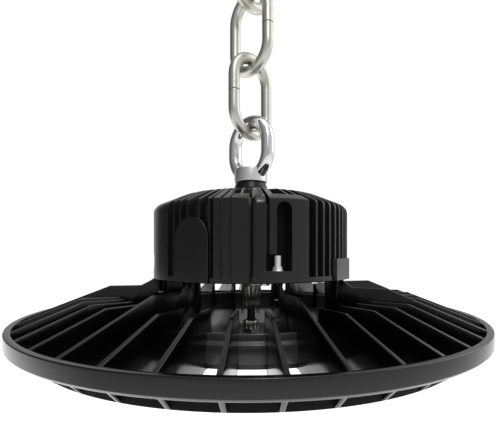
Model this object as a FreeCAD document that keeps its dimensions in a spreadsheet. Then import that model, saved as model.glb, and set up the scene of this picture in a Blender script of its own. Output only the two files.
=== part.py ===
"""High bay light that hangs on three links of chain, in millimetres.

Every piece is drawn in the lamp's own frame, with the axis on Z and the top plane of the
rim at zero. Its Placement then lowers it by `drop`, so that the finished model has its
origin at the hanging point, inside the crown of the top link.
Angles round the axis are counted from the front, -Y, towards +X.
"""
import FreeCAD, Part
import math
import os
import re
import Sketcher
from FreeCAD import Placement, Rotation, Vector

doc = FreeCAD.newDocument("high_bay_light")
sheet = doc.addObject("Spreadsheet::Sheet", "Sizes")

SIZES = [
    # chain and lifting eye
    ("wire", 10, "wire diameter of the chain"),
    ("link_length", 79.6, "outer length of a link"),
    ("link_width", 52, "outer width of a link"),
    ("link_gap", 0.3, "play between two links at rest"),
    ("link_turn", 45, "links stand alternately this much to each side of the front"),
    ("eye_bar", 12, "bar diameter of the lifting eye"),
    ("eye_width", 54, "outer width of the lifting eye"),
    ("eye_height", 62, "height of the eye over all, flush with the foot of its boss"),
    ("boss_radius", 15, "boss of the lifting eye"),
    ("boss_height", 12.3, "height of that boss"),
    ("stud_radius", 6, "M12 stud under the eye"),
    ("stud_bite", 9, "thread of the stud inside the eye"),
    ("thread_gap", 0.05, "play in a thread or a push fit"),
    ("collar_height", 7.2, "spacer under the eye"),
    ("collar_foot", 16, "foot radius of the spacer"),
    ("collar_neck", 13.4, "top radius of the spacer"),
    ("washer_depth", 1, "toothed washer under the spacer"),
    ("washer_radius", 15, "root radius of that washer"),
    ("washer_tooth", 2.2, "tooth of that washer"),
    ("washer_teeth", 12, "teeth on that washer"),
    # rim and lower ring of the heat sink
    ("rim_radius", 190, "outside of the rim"),
    ("rim_wall", 4.5, "thickness of the rim"),
    ("rim_face", 9, "upright face of the rim"),
    ("rim_chamfer", 2, "chamfer under that face"),
    ("ring_radius", 172, "outside of the lower ring"),
    ("ring_wall", 4, "thickness of the lower ring"),
    ("ring_top", 12.5, "depth of its upper edge"),
    ("ring_foot", 22.5, "depth of its lower edge"),
    # cooling fins of the heat sink
    ("fin_count", 40, "fins round the heat sink"),
    ("fin_angle", 21.2, "slope of the fins' upper edges"),
    ("fin_flat", 17, "height of the plain fins"),
    ("fin_end", 113.5, "inner end of the plain fins"),
    ("fin_root", 3.5, "fin thickness at the rim's level"),
    ("fin_tip", 1.5, "fin thickness at the top of the tall fins"),
    ("fin_shoulder", 4, "depth at which the fins' outer edges leave the rim"),
    ("tall_each", 5, "one fin in so many carries the driver"),
    ("tall_first", 2, "place of the first tall fin, counted from the front"),
    ("tall_flat", 24.7, "height of the tall fins outside the driver"),
    ("tall_ramp", 95, "radius at which they start to rise to the driver"),
    ("tall_end", 74.5, "inner end of the tall fins"),
    ("foot_radius", 3.8, "boss on a tall fin, below the driver"),
    ("foot_depth", 17, "height of that boss"),
    # pan that holds the light engine
    ("pan_radius", 123.5, "outside of the pan"),
    ("pan_wall", 3.5, "wall of the pan"),
    ("pan_step", 2, "step in the outside of the pan"),
    ("pan_step_drop", 3, "depth of that step"),
    ("pan_top", 3.5, "height of the pan's edge"),
    ("pan_floor", 12, "depth of the pan's floor"),
    ("floor_depth", 3, "thickness of the floor"),
    ("seat_land", 12, "flat land for the seal under the pan"),
    # light engine
    ("pad_depth", 0.4, "heat pad"),
    ("board_depth", 1.6, "board with the lamps"),
    ("board_radius", 103, "radius of that board"),
    ("chip_side", 3.4, "side of one light chip"),
    ("chip_depth", 0.7, "height of one light chip"),
    ("chip_ring", 30, "radius of the inner ring of chips"),
    ("chip_ring_step", 30, "step from ring to ring"),
    ("chip_start", 8, "chips on the inner ring"),
    ("chip_more", 10, "more chips on each ring further out"),
    ("lens_depth", 1.8, "thickness of the lens plate"),
    ("lens_air", 1.6, "air between the chips and the lens plate"),
    ("lens_lip", 1.2, "lip of the lens, held by its ring"),
    ("lens_radius", 106, "radius of the lens plate"),
    ("dome_radius", 9, "sphere of one small lens"),
    ("dome_rise", 2.2, "height of one small lens"),
    ("seal_depth", 0.9, "seal above the lip of the lens"),
    ("seal_width", 5, "width of that seal"),
    ("clamp_lip", 1.5, "lip of the lens ring"),
    ("clamp_play", 0.3, "play between that ring and the fins"),
    ("clamp_screws", 12, "screws through the lens ring"),
    # driver housing
    ("seat", 30.4, "height at which the driver stands on the tall fins"),
    ("driver_radius", 86.5, "outside over the fins of the driver"),
    ("shoulder", 90.7, "height of its sharp shoulder, before rounding"),
    ("shoulder_round", 10, "rounding of the shoulder"),
    ("dome_knee", 60, "radius at which its top flattens"),
    ("dome_knee_up", 102.1, "height at that radius"),
    ("hub_radius", 34, "plain centre of its top"),
    ("hub_rim", 105.7, "height at that radius"),
    ("hub_flat", 18, "flat middle of that centre"),
    ("hub_top", 108.4, "height of that middle"),
    ("groove", 7, "depth of the grooves between its fins"),
    ("shell", 5, "wall behind the grooves"),
    ("thin_fin", 2.5, "thin fins of the driver"),
    ("fin_pitch", 6, "angle from one thin fin to the next"),
    ("fin_bite", 2, "how far those fins reach into what carries them"),
    ("band", 4, "plain band round the foot of the driver"),
    ("pocket_wall", 10.7, "depth of the nut pockets"),
    ("pocket_width", 18.8, "width of the nut pockets"),
    ("pocket_low", 39.2, "floor of the nut pockets"),
    ("pocket_high", 51, "roof of the wide part of the pockets"),
    ("slot_width", 11.6, "slot above each nut"),
    ("slot_top", 90.6, "round top of that slot"),
    ("plate_width", 33, "width of the flat pads on the sides"),
    ("plate_face", 87.4, "distance of the pads' faces from the axis"),
    ("plate_tall", 78.5, "top of the arched pads"),
    ("plate_short", 47.9, "top of the short pads"),
    ("inlet_plate", 24, "side of the pad round the mains inlet"),
    ("inlet_height", 57, "height of the mains inlet"),
    # driver cover, its seal and its screws
    ("cover_radius", 76, "cover under the driver"),
    ("cover_depth", 3, "thickness of the cover"),
    ("cover_play", 0.3, "play round the cover"),
    ("cover_seal", 1, "seal above the cover"),
    ("cover_seal_width", 2.6, "width of that seal"),
    ("cover_screws", 8, "screws in the cover"),
    ("cover_screw_ring", 71, "radius of their circle"),
    ("screw_radius", 2, "M4 screws"),
    ("screw_head", 3.7, "head radius of the M4 screws"),
    ("screw_head_depth", 2.2, "head height of the M4 screws"),
    # nuts that hold the driver down
    ("hold_ring", 80.5, "circle of the holding studs"),
    ("hold_radius", 2.4, "holding studs"),
    ("hold_top", 50.2, "top of the holding studs"),
    ("hold_bite", 12, "thread of those studs inside the fins"),
    ("hold_nut", 3.6, "half the width over corners of their nuts"),
    ("hold_nut_depth", 3, "height of those nuts"),
    # cable between driver and light engine
    ("cable_radius", 3.2, "cable"),
    ("cable_front", 45, "distance of the cable in front of the axis"),
    ("gland_hex", 8.4, "half the width over corners of the glands"),
    ("gland_flange", 4.2, "height of the glands' flanges"),
    ("gland_neck", 5.3, "radius of the glands' threads"),
    ("gland_nut_long", 7.2, "height of the glands' nuts"),
    ("gland_nose", 10.9, "long nose of the upper gland"),
    ("gland_nose_foot", 5.9, "foot radius of that nose"),
    ("gland_nose_tip", 4.8, "tip radius of that nose"),
    ("gland_tail", 8, "thread of a gland behind its flange"),
    ("gland_collar", 1.6, "wall of the glands round the cable"),
    ("gland_seal", 0.9, "wall of the glands' seals"),
    ("gland_lip", 2, "lip of the glands' nuts"),
    ("gland_lap", 0.3, "how far the nuts are smaller than the flanges"),
    ("small_hex", 7.2, "half the width over corners of the lower gland"),
    ("small_nut_long", 6.2, "height of the lower gland's nut"),
    ("small_nose", 1, "nose of that nut"),
    ("mains_nose", 4, "nose of the mains gland"),
    ("cable_end", 3, "cable that stands free inside the driver"),
    # inside the driver
    ("circuit_radius", 62, "circuit board"),
    ("circuit_depth", 1.6, "thickness of the circuit board"),
    ("pillar_height", 9, "pillars under the circuit board"),
    ("pillar_radius", 3.5, "those pillars"),
    ("pillar_ring", 54, "circle of those pillars"),
    ("core_long", 36, "length of the transformer's core"),
    ("core_wide", 18, "width of the transformer's core"),
    ("core_tall", 28, "height of the transformer's core"),
    ("coil_radius", 15, "winding of the transformer"),
    ("coil_wall", 4, "core above and below the winding"),
    ("can_radius", 9, "smoothing capacitors"),
    ("can_height", 32, "height of the capacitors"),
    ("choke_radius", 11, "mean radius of the choke"),
    ("choke_wire", 4.5, "radius of the choke's section"),
]
NAMES = {alias for alias, _, _ in SIZES}

for row, (alias, value, note) in enumerate(SIZES, 1):
    sheet.set(f"A{row}", str(value))
    sheet.setAlias(f"A{row}", alias)
    sheet.set(f"B{row}", note)
doc.recompute()

# Derived lengths, as expressions on the sheet.
BEND = "(link_width - wire) / 2"
STRAIGHT = "(link_length - link_width)"
PITCH = "(link_length - 2 * wire - link_gap)"
HUB_SEAT = "(hub_top + washer_depth)"
BOSS_FOOT = f"({HUB_SEAT} + collar_height)"
EYE_MEAN = "(eye_width - eye_bar) / 2"
EYE_STRAIGHT = "(eye_height - eye_width)"
LOW_BAR = f"({BOSS_FOOT} + eye_height - eye_bar - link_gap - wire / 2)"
DROP = f"({LOW_BAR} + 3 * {PITCH} + wire / 2 + link_gap)"
RIM_BORE = "(rim_radius - rim_wall)"
RIM_FOOT = "(rim_face + rim_chamfer)"
FLOOR_FOOT = "(pan_floor + floor_depth)"
BOARD_TOP = f"({FLOOR_FOOT} + pad_depth)"
CHIP_TOP = f"({BOARD_TOP} + board_depth)"
LENS_TOP = f"({CHIP_TOP} + chip_depth + lens_air)"
LENS_FOOT = f"({LENS_TOP} + lens_depth)"
LIP_TOP = f"({FLOOR_FOOT} + seal_depth)"
LIP_FOOT = f"({LIP_TOP} + lens_lip)"
LAND_IN = "(pan_radius - seat_land)"
CORE_RADIUS = "(driver_radius - groove)"
CAVITY_RADIUS = f"({CORE_RADIUS} - shell)"
COVER_TOP = "(seat + cover_depth)"
SHELF = f"({COVER_TOP} + cover_seal)"
CIRCUIT_FOOT = f"({COVER_TOP} + pillar_height)"
CIRCUIT_TOP = f"({CIRCUIT_FOOT} + circuit_depth)"


def on_sheet(text):
    """An expression with every size's name led back to the sheet."""
    return re.sub(r"[a-z_]+", lambda m: "Sizes." + m[0] if m[0] in NAMES else m[0], str(text))


def value(text):
    """The number that an expression on the sheet gives now."""
    result = sheet.evalExpression(on_sheet(text))
    return float(getattr(result, "Value", result))


def bind(item, **properties):
    """Ties properties to the sheet; a double underscore stands for the dot in a path."""
    for path, text in properties.items():
        item.setExpression(path.replace("__", "."), on_sheet(text))
    return item


def place(item, x="0", y="0", z="0"):
    return bind(item, Placement__Base__x=x, Placement__Base__y=y, Placement__Base__z=z)


def turned(item, degrees, axis=Vector(0, 0, 1)):
    """Turns a piece about an axis through the origin, before it is placed."""
    item.Placement = Placement(Vector(), Rotation(axis, degrees))
    return item


def cylinder(name, radius, height, x="0", y="0", z="0"):
    item = doc.addObject("Part::Cylinder", name)
    return place(bind(item, Radius=radius, Height=height), x, y, z)


def box(name, long, wide, tall, x="0", y="0", z="0"):
    """A box centred on x and y, standing on z."""
    item = doc.addObject("Part::Box", name)
    bind(item, Length=long, Width=wide, Height=tall)
    return place(item, f"{x} - ({long}) / 2", f"{y} - ({wide}) / 2", z)


def cone(name, foot, top, height, z="0"):
    item = doc.addObject("Part::Cone", name)
    return place(bind(item, Radius1=foot, Radius2=top, Height=height), z=z)


def hexagon(name, corner, height, z="0"):
    item = doc.addObject("Part::Prism", name)
    item.Polygon = 6
    return place(bind(item, Circumradius=corner, Height=height), z=z)


def outline(name, corners, upright=True):
    """A closed sketch through corners that the sheet drives; upright ones lie in XZ."""
    sketch = doc.addObject("Sketcher::SketchObject", name)
    if upright:
        sketch.Placement = Placement(Vector(), Rotation(Vector(1, 0, 0), 90))
    points = [Vector(value(x), value(y), 0) for x, y in corners]
    count = len(points)
    for i, start in enumerate(points):
        sketch.addGeometry(Part.LineSegment(start, points[(i + 1) % count]), False)
    for i in range(count):
        sketch.addConstraint(Sketcher.Constraint("Coincident", i, 2, (i + 1) % count, 1))
    for i, corner in enumerate(corners):
        for kind, text, length in zip(("DistanceX", "DistanceY"), corner, points[i]):
            number = sketch.addConstraint(Sketcher.Constraint(kind, -1, 1, i, 1, length))
            sketch.setExpression(f"Constraints[{number}]", on_sheet(text))
    return sketch


def turning(name, corners):
    """A solid of revolution about Z from the corners (radius, height) of its half section."""
    item = doc.addObject("Part::Revolution", name)
    item.Source = outline(name + "_section", corners)
    item.Axis = (0, 0, 1)
    item.Angle = 360
    item.Solid = True
    return item


def slab(name, sketch, direction, length):
    """A sketch drawn out to both sides of its plane."""
    item = doc.addObject("Part::Extrusion", name)
    item.Base = sketch
    item.DirMode = "Custom"
    item.Dir = direction
    item.Symmetric = True
    item.Solid = True
    return bind(item, LengthFwd=length)


def fuse(name, pieces):
    item = doc.addObject("Part::MultiFuse", name)
    item.Shapes = pieces
    return item


def cut(name, base, tool):
    item = doc.addObject("Part::Cut", name)
    item.Base = base
    item.Tool = tool
    return item


def common(name, first, second):
    item = doc.addObject("Part::MultiCommon", name)
    item.Shapes = [first, second]
    return item


def copies(name, source, angles):
    """Copies of a piece, turned about Z; the piece itself stays where it was drawn."""
    made = []
    for i, angle in enumerate(angles):
        link = doc.addObject("App::Link", f"{name}_{i}")
        link.LinkedObject = source
        link.LinkTransform = True
        made.append(turned(link, angle))
    return made


def group(name, pieces):
    item = doc.addObject("Part::Compound", name)
    item.Links = pieces
    return item


def round_circle(count, start=0.0):
    return [start + 360 * i / count for i in range(int(count))]


SUBPARTS = []


def subpart(item, label, x="0", y="0", z="0"):
    """Names a finished piece and lowers it from the lamp's frame to the hanging point's."""
    item.Label = label
    place(item, x, y, f"({z}) - {DROP}")
    SUBPARTS.append(item)
    return item


# Chain ---------------------------------------------------------------------------------

def half_bend(name, mean, bar, degrees, z):
    """Half a torus that stands in XZ: the round end of a link or of the eye."""
    bend = doc.addObject("Part::Torus", name)
    bend.Angle3 = 180
    turned(bind(bend, Radius1=mean, Radius2=f"({bar}) / 2"), degrees, Vector(1, 0, 0))
    return place(bend, z=z)


def long_ring(name, mean, bar, straight):
    """Two straight legs joined by two round bends, about the origin."""
    legs = [cylinder(f"{name}_leg_{side}", f"({bar}) / 2", straight,
                     x=f"{sign} * {mean}", z=f"-{straight} / 2")
            for side, sign in (("right", 1), ("left", -1))]
    bends = [half_bend(f"{name}_crown", mean, bar, 90, f"{straight} / 2"),
             half_bend(f"{name}_foot", mean, bar, -90, f"-{straight} / 2")]
    return legs + bends


def chain_link(label, turn, middle):
    """A welded link of round wire."""
    link = turned(fuse(label, long_ring(label, BEND, "wire", STRAIGHT)), turn)
    return subpart(link, label, z=middle)


def chain():
    turn = value("link_turn")
    low = f"{LOW_BAR} + (link_length - wire) / 2"
    chain_link("chain_lower_link", turn, low)
    chain_link("chain_middle_link", -turn, f"{low} + {PITCH}")
    chain_link("chain_top_link", turn, f"{low} + 2 * {PITCH}")


# Lifting eye and what it clamps ----------------------------------------------------------

def lifting_eye():
    """A long ring round a boss, flush with the boss's foot and tapped for the stud."""
    pieces = fuse("eye_ring", long_ring("eye_ring", EYE_MEAN, "eye_bar", EYE_STRAIGHT))
    ring = place(pieces, z="eye_height / 2")
    boss = cylinder("eye_boss", "boss_radius", "boss_height")
    tapping = cylinder("eye_tapping", "stud_radius + thread_gap", "stud_bite + 1", z="-1")
    eye = cut("eye", fuse("eye_solid", [ring, boss]), tapping)
    turned(eye, -value("link_turn"))
    subpart(eye, "lifting_eye", z=BOSS_FOOT)


def top_collar():
    """The tapered black spacer between the driver and the eye."""
    body = cone("collar_body", "collar_foot", "collar_neck", "collar_height")
    bore = cylinder("collar_bore", "stud_radius + thread_gap", "collar_height + 2", z="-1")
    subpart(cut("collar", body, bore), "top_collar", z=HUB_SEAT)


def lock_washer():
    """A toothed washer whose teeth show round the foot of the spacer."""
    disc = cylinder("washer_disc", "washer_radius", "washer_depth")
    tooth = box("washer_tooth_piece", "washer_tooth", "2 * washer_tooth", "washer_depth",
                y="-washer_radius")
    teeth = copies("washer_tooth_copy", tooth, round_circle(value("washer_teeth"), 11.0))
    bore = cylinder("washer_bore", "stud_radius + thread_gap", "washer_depth + 2", z="-1")
    washer = cut("toothed_washer", fuse("washer_solid", [disc] + teeth), bore)
    subpart(washer, "lock_washer", z="hub_top")


STUD_NUT = 10
STUD_WASHER = 2.5
NUT_CORNER = 11


def hanging_stud():
    """The stud from the eye into the driver, with its washer and nut under the roof."""
    roof = "(hub_rim - groove - shell)"
    low = f"({roof} - {STUD_WASHER} - {STUD_NUT} - 3)"
    stud = cylinder("stud", "stud_radius", f"{BOSS_FOOT} + stud_bite - {low}")
    subpart(stud, "hanging_stud", z=low)
    washer = cut("stud_washer_ring",
                 cylinder("stud_washer_disc", "2 * stud_radius", STUD_WASHER),
                 cylinder("stud_washer_bore", "stud_radius + thread_gap", STUD_WASHER + 2, z=-1))
    subpart(washer, "stud_washer", z=f"{roof} - {STUD_WASHER}")
    nut = cut("stud_nut_body", hexagon("stud_nut_hex", NUT_CORNER, STUD_NUT),
              cylinder("stud_nut_bore", "stud_radius + thread_gap", STUD_NUT + 2, z=-1))
    subpart(nut, "stud_nut", z=f"{roof} - {STUD_WASHER} - {STUD_NUT}")


# Heat sink ---------------------------------------------------------------------------------

def fin_blank(name, tall):
    """The thickness of a fin: widest at the rim's level, thin at the top, a little less below."""
    root, tip, low = "fin_root / 2", "fin_tip / 2", "0.4 * fin_root"
    section = outline(name + "_taper", [
        (f"-{low}", "-ring_foot - 1"), (low, "-ring_foot - 1"), (root, "-rim_face"),
        (tip, f"{tall} + 1"), (f"-{tip}", f"{tall} + 1"), (f"-{root}", "-rim_face")])
    return slab(name + "_blank", section, Vector(0, -1, 0), "2 * rim_radius")


def fin(name, height, top):
    """One fin, at the front: its side view drawn in the plane of the axis, cut from its blank.

    `height` is where its sloping edge ends, and `top` holds the corners further in.
    """
    inner = top[0][0]
    reach = f"{RIM_BORE} - ({height}) / tan(fin_angle * 1 deg)"
    bite = "rim_wall / 3"
    side = outline(name + "_side", [
        (inner, f"-{FLOOR_FOOT} + floor_depth / 2"), *top, (reach, height),
        (f"{RIM_BORE} + {bite}", f"-{bite} * tan(fin_angle * 1 deg)"),
        (f"{RIM_BORE} + {bite}", "-rim_face"),
        (f"{RIM_BORE} - fin_shoulder", f"-{RIM_FOOT} - fin_shoulder / 2"),
        ("ring_radius + 0.8", "-ring_foot + 0.8"), ("ring_radius - ring_wall / 2", "-ring_foot"),
        ("pan_radius + 12", "-ring_foot"), ("pan_radius + clamp_play", f"-{FLOOR_FOOT} - 2"),
        ("pan_radius + clamp_play", f"-{FLOOR_FOOT}"),
        ("pan_radius - pan_wall / 2", f"-{FLOOR_FOOT}")])
    plate = slab(name + "_plate", side, Vector(0, 1, 0), "4 * fin_root")
    plate = turned(group(name + "_front", [plate]), -90)
    return common(name, plate, fin_blank(name, top[0][1]))


def tall_fin():
    """A fin that carries the driver, with a tapered boss for a holding stud at its head."""
    blade = fin("tall_fin", "tall_flat", [
        ("tall_end", "seat"), ("driver_radius", "seat"), ("tall_ramp", "tall_flat")])
    boss = cone("tall_boss", "fin_root / 2", "foot_radius", "foot_depth")
    place(boss, y="-hold_ring", z="seat - foot_depth")
    return fuse("tall_fin_solid", [blade, boss])


def rim_ring():
    return turning("rim", [
        (RIM_BORE, f"-{RIM_FOOT}"), ("rim_radius - rim_chamfer", f"-{RIM_FOOT}"),
        ("rim_radius", "-rim_face"), ("rim_radius", "0"), (RIM_BORE, "0")])


def lower_ring():
    return turning("lower_ring", [
        ("ring_radius - ring_wall", "-ring_foot"), ("ring_radius - 1", "-ring_foot"),
        ("ring_radius", "-ring_foot + 1"), ("ring_radius", "-ring_top"),
        ("ring_radius - ring_wall", "-ring_top")])


def pan():
    """The shallow pan in the middle, with a stepped wall and a flat land for the lens seal."""
    upper = "(pan_radius - pan_step)"
    return turning("pan", [
        ("0", f"-{FLOOR_FOOT}"), ("pan_radius", f"-{FLOOR_FOOT}"),
        ("pan_radius", "-pan_step_drop"), (upper, "-pan_step_drop + pan_step"),
        (upper, "pan_top"), (f"{upper} - pan_wall", "pan_top"),
        (f"{upper} - pan_wall - 1", "-pan_floor"), ("0", "-pan_floor")])


def heat_sink():
    """One casting: rim, lower ring and pan, joined by the fins."""
    count = int(value("fin_count"))
    angles = round_circle(count, 180 / count)
    first, each = int(value("tall_first")), int(value("tall_each"))
    tall = [a for i, a in enumerate(angles) if (i + 1 - first) % each == 0]
    plain = [a for a in angles if a not in tall]
    short = fin("plain_fin", "fin_flat", [("fin_end", "fin_flat")])
    fins = copies("plain_fin_copy", short, plain)
    fins += copies("tall_fin_copy", tall_fin(), tall)
    casting = fuse("casting", [rim_ring(), lower_ring(), pan()] + fins)
    screws = cylinder("lens_tapping", "screw_radius + thread_gap", "floor_depth + 3",
                      y="-pan_radius + 3.4", z=f"-{FLOOR_FOOT} - 1")
    holes = copies("lens_tapping_copy", screws, lens_screw_angles())
    holes.append(cylinder("cable_passage", "gland_neck + thread_gap", "floor_depth + 2",
                          y="-cable_front", z=f"-{FLOOR_FOOT} - 1"))
    tapping = cylinder("hold_tapping", "hold_radius + thread_gap", "hold_bite + 2",
                       y="-hold_ring", z="seat - hold_bite - 1")
    holes += copies("hold_tapping_copy", tapping, [q + HOLDING for q in QUARTERS])
    subpart(cut("heat_sink_body", casting, fuse("casting_holes", holes)), "heat_sink")


# Light engine --------------------------------------------------------------------------------

def lens_screw_angles():
    count = value("clamp_screws")
    return round_circle(count, 180 / count)


def chip_places():
    """Places (x, y) of the chips and of the small lenses below them, ring by ring."""
    places = []
    for ring in range(3):
        radius = value("chip_ring") + ring * value("chip_ring_step")
        count = int(value("chip_start") + ring * value("chip_more"))
        for angle in round_circle(count):
            a = math.radians(angle + 180 / count)
            places.append((radius * math.sin(a), -radius * math.cos(a)))
    return places


def spread(name, source, places):
    """Copies of a piece moved to each place, not turned."""
    made = []
    for i, (x, y) in enumerate(places):
        link = doc.addObject("App::Link", f"{name}_{i}")
        link.LinkedObject = source
        link.LinkTransform = True
        link.Placement = Placement(Vector(x, y, 0), Rotation())
        made.append(link)
    return made


def light_engine():
    hole = cylinder("pad_hole", "gland_neck + 1", "pad_depth + 2", y="-cable_front", z="-1")
    pad = cut("pad_ring", cylinder("pad_disc", "board_radius", "pad_depth"), hole)
    subpart(pad, "heat_pad", z=f"-{BOARD_TOP}")
    subpart(cylinder("board_disc", "board_radius", "board_depth"), "led_board",
            z=f"-{CHIP_TOP}")
    chip = box("chip", "chip_side", "chip_side", "chip_depth")
    chips = group("chip_group", spread("chip_copy", chip, chip_places()))
    subpart(chips, "led_chips", z=f"-{CHIP_TOP} - chip_depth")


def lens():
    """A clear plate with a rim that rises to its clamped lip, and a small lens under each chip."""
    wall = "(lens_radius - 2)"
    plate = turning("lens_plate", [
        ("0", f"-{LENS_FOOT}"), ("lens_radius", f"-{LENS_FOOT}"),
        ("lens_radius", f"-{LIP_FOOT}"), (f"{LAND_IN} + seal_width", f"-{LIP_FOOT}"),
        (f"{LAND_IN} + seal_width", f"-{LIP_TOP}"), (wall, f"-{LIP_TOP}"),
        (wall, f"-{LENS_TOP}"), ("0", f"-{LENS_TOP}")])
    ball = doc.addObject("Part::Sphere", "dome_ball")
    place(bind(ball, Radius="dome_radius"), z=f"-{LENS_FOOT} + dome_radius - dome_rise")
    half = cylinder("dome_limit", "dome_radius", "dome_rise + lens_depth / 2",
                    z=f"-{LENS_FOOT} - dome_rise")
    dome = common("dome", ball, half)
    subpart(fuse("lens_body", [plate] + spread("dome_copy", dome, chip_places())), "lens")


def lens_seal():
    seal = turning("seal", [
        (LAND_IN, f"-{LIP_TOP}"), (f"{LAND_IN} + seal_width", f"-{LIP_TOP}"),
        (f"{LAND_IN} + seal_width", f"-{FLOOR_FOOT}"), (LAND_IN, f"-{FLOOR_FOOT}")])
    subpart(seal, "lens_seal")


def lens_ring():
    """The ring that clamps the lens: it butts on the pan and reaches under the lip."""
    inner = "(lens_radius + 0.4)"
    outer = f"({LAND_IN} + seal_width + 0.2)"
    ring = turning("clamp_ring", [
        (inner, f"-{LIP_FOOT} - clamp_lip"), ("pan_radius - 4.2", f"-{LIP_FOOT} - clamp_lip"),
        ("pan_radius", f"-{LIP_FOOT} - 0.2"), ("pan_radius", f"-{FLOOR_FOOT}"),
        (outer, f"-{FLOOR_FOOT}"), (outer, f"-{LIP_FOOT}"), (inner, f"-{LIP_FOOT}")])
    hole = cylinder("clamp_hole", "screw_radius + 0.2", "10", y="-pan_radius + 3.4",
                    z=f"-{FLOOR_FOOT} - 9")
    holes = fuse("clamp_holes", copies("clamp_hole_copy", hole, lens_screw_angles()))
    subpart(cut("clamp_ring_body", ring, holes), "lens_ring")


def screw(name, length):
    """A pan-head screw with its head below and its shank upwards from zero."""
    head = cylinder(name + "_head", "screw_head", "screw_head_depth", z="-screw_head_depth")
    shank = cylinder(name + "_shank", "screw_radius", length)
    return fuse(name, [head, shank])


def lens_screws():
    one = screw("lens_screw", "4.5")
    place(one, y="-pan_radius + 3.4", z=f"-{LIP_FOOT} - clamp_lip")
    subpart(group("lens_screw_group", copies("lens_screw_copy", one, lens_screw_angles())),
            "lens_screws")


# Driver housing ----------------------------------------------------------------------------------

FINNED = 36.5, 8          # first thin fin of a quarter, and how many stand in it
WIDE = ((-9.5, -1.3), (-0.1, 6.6), (8.3, 31.9))   # wide fins of a quarter, from and to
HOLDING = 13.5            # holding stud of a quarter
NUT_POCKET = 13.9         # middle of the pocket over its nut
SLOT = 15.6               # middle of the slot above that pocket
PLATES = 58.5             # middle of a quarter's flat pad
QUARTERS = (0, 90, 180, 270)


def driver_envelope():
    """The full form over the fins: a drum with a round shoulder and a low dome."""
    body = doc.addObject("PartDesign::Body", "envelope")
    section = body.newObject("Sketcher::SketchObject", "envelope_section")
    plane = [f for f in body.Origin.OriginFeatures if f.Role == "XZ_Plane"][0]
    section.AttachmentSupport = [(plane, "")]
    section.MapMode = "FlatFace"
    corners = [("0", "seat"), ("driver_radius", "seat"), ("driver_radius", "shoulder"),
               ("dome_knee", "dome_knee_up"), ("hub_radius", "hub_rim"),
               ("hub_flat", "hub_top"), ("0", "hub_top")]
    draw = outline("envelope_guide", corners)
    for geometry in draw.Geometry:
        section.addGeometry(geometry, False)
    for constraint in draw.Constraints:
        section.addConstraint(constraint)
    for path, text in draw.ExpressionEngine:
        section.setExpression(path, text)
    doc.removeObject(draw.Name)
    turn = body.newObject("PartDesign::Revolution", "envelope_turn")
    turn.Profile = section
    turn.ReferenceAxis = (section, ["V_Axis"])
    turn.Angle = 360
    doc.recompute()
    rim = value("driver_radius")
    edges = [f"Edge{i}" for i, e in enumerate(turn.Shape.Edges, 1)
             if abs(e.BoundBox.XMax - rim) < 1e-6 and e.BoundBox.ZMin > value("seat") + 1
             and e.BoundBox.ZLength < 1e-6]
    rounding = body.newObject("PartDesign::Fillet", "envelope_shoulder")
    rounding.Base = (turn, edges)
    bind(rounding, Radius="shoulder_round")
    body.Tip = rounding
    return body


def sector(name, start, end):
    """A wedge of the drum from one angle to another."""
    wedge = doc.addObject("Part::Cylinder", name)
    bind(wedge, Radius="driver_radius + 1", Height="hub_top - seat", Angle=str(end - start))
    return place(turned(wedge, start - 90), z="seat")


def driver_core():
    """The closed wall behind the grooves, with the plain hub and the band at the foot."""
    drop_in = "groove"
    core = turning("core", [
        ("0", "seat"), ("driver_radius", "seat"), ("driver_radius", "seat + band"),
        (CORE_RADIUS, "seat + band"), (CORE_RADIUS, f"shoulder - {drop_in}"),
        ("dome_knee - 3", f"dome_knee_up - {drop_in}"), ("hub_radius", f"hub_rim - {drop_in}"),
        ("hub_radius", "hub_rim"), ("hub_flat", "hub_top"), ("0", "hub_top")])
    return core


def flat_pad(name, width, top, arched):
    """A flat pad at the front of the drum; an arched one has a half-round head."""
    depth = f"plate_face - {CAVITY_RADIUS} - 1"
    middle = f"-plate_face + ({depth}) / 2"
    straight = f"{top} - ({width}) / 2" if arched else top
    block = box(name + "_block", width, depth, f"{straight} - seat", y=middle, z="seat")
    if not arched:
        return block
    head = cylinder(name + "_head", f"({width}) / 2", depth)
    turned(head, 90, Vector(1, 0, 0))
    place(head, y=f"-plate_face + ({depth})", z=straight)
    return fuse(name, [block, head])


def inlet_pad():
    depth = f"plate_face - {CAVITY_RADIUS} - 1"
    return box("inlet_pad", "inlet_plate", depth, "inlet_plate", y=f"plate_face - ({depth}) / 2",
               z="inlet_height - inlet_plate / 2")


def nut_pocket():
    """What is cut away over a holding nut: a wide low pocket and a slot with a round top."""
    back = "(driver_radius - pocket_wall)"
    reach = "pocket_wall + 4"
    middle = f"-{back} - ({reach}) / 2"
    low = box("pocket_low_part", "pocket_width", reach, "pocket_high - pocket_low", y=middle,
              z="pocket_low")
    low = turned(group("pocket_low_turned", [low]), NUT_POCKET)
    spring = "slot_top - slot_width / 2"
    stem = box("slot_stem", "slot_width", reach, f"{spring} - pocket_low", y=middle,
               z="pocket_low")
    head = turned(cylinder("slot_head", "slot_width / 2", reach), 90, Vector(1, 0, 0))
    place(head, y=f"-{back}", z=spring)
    slot = turned(group("slot_turned", [stem, head]), SLOT)
    return [low, slot]


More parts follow.
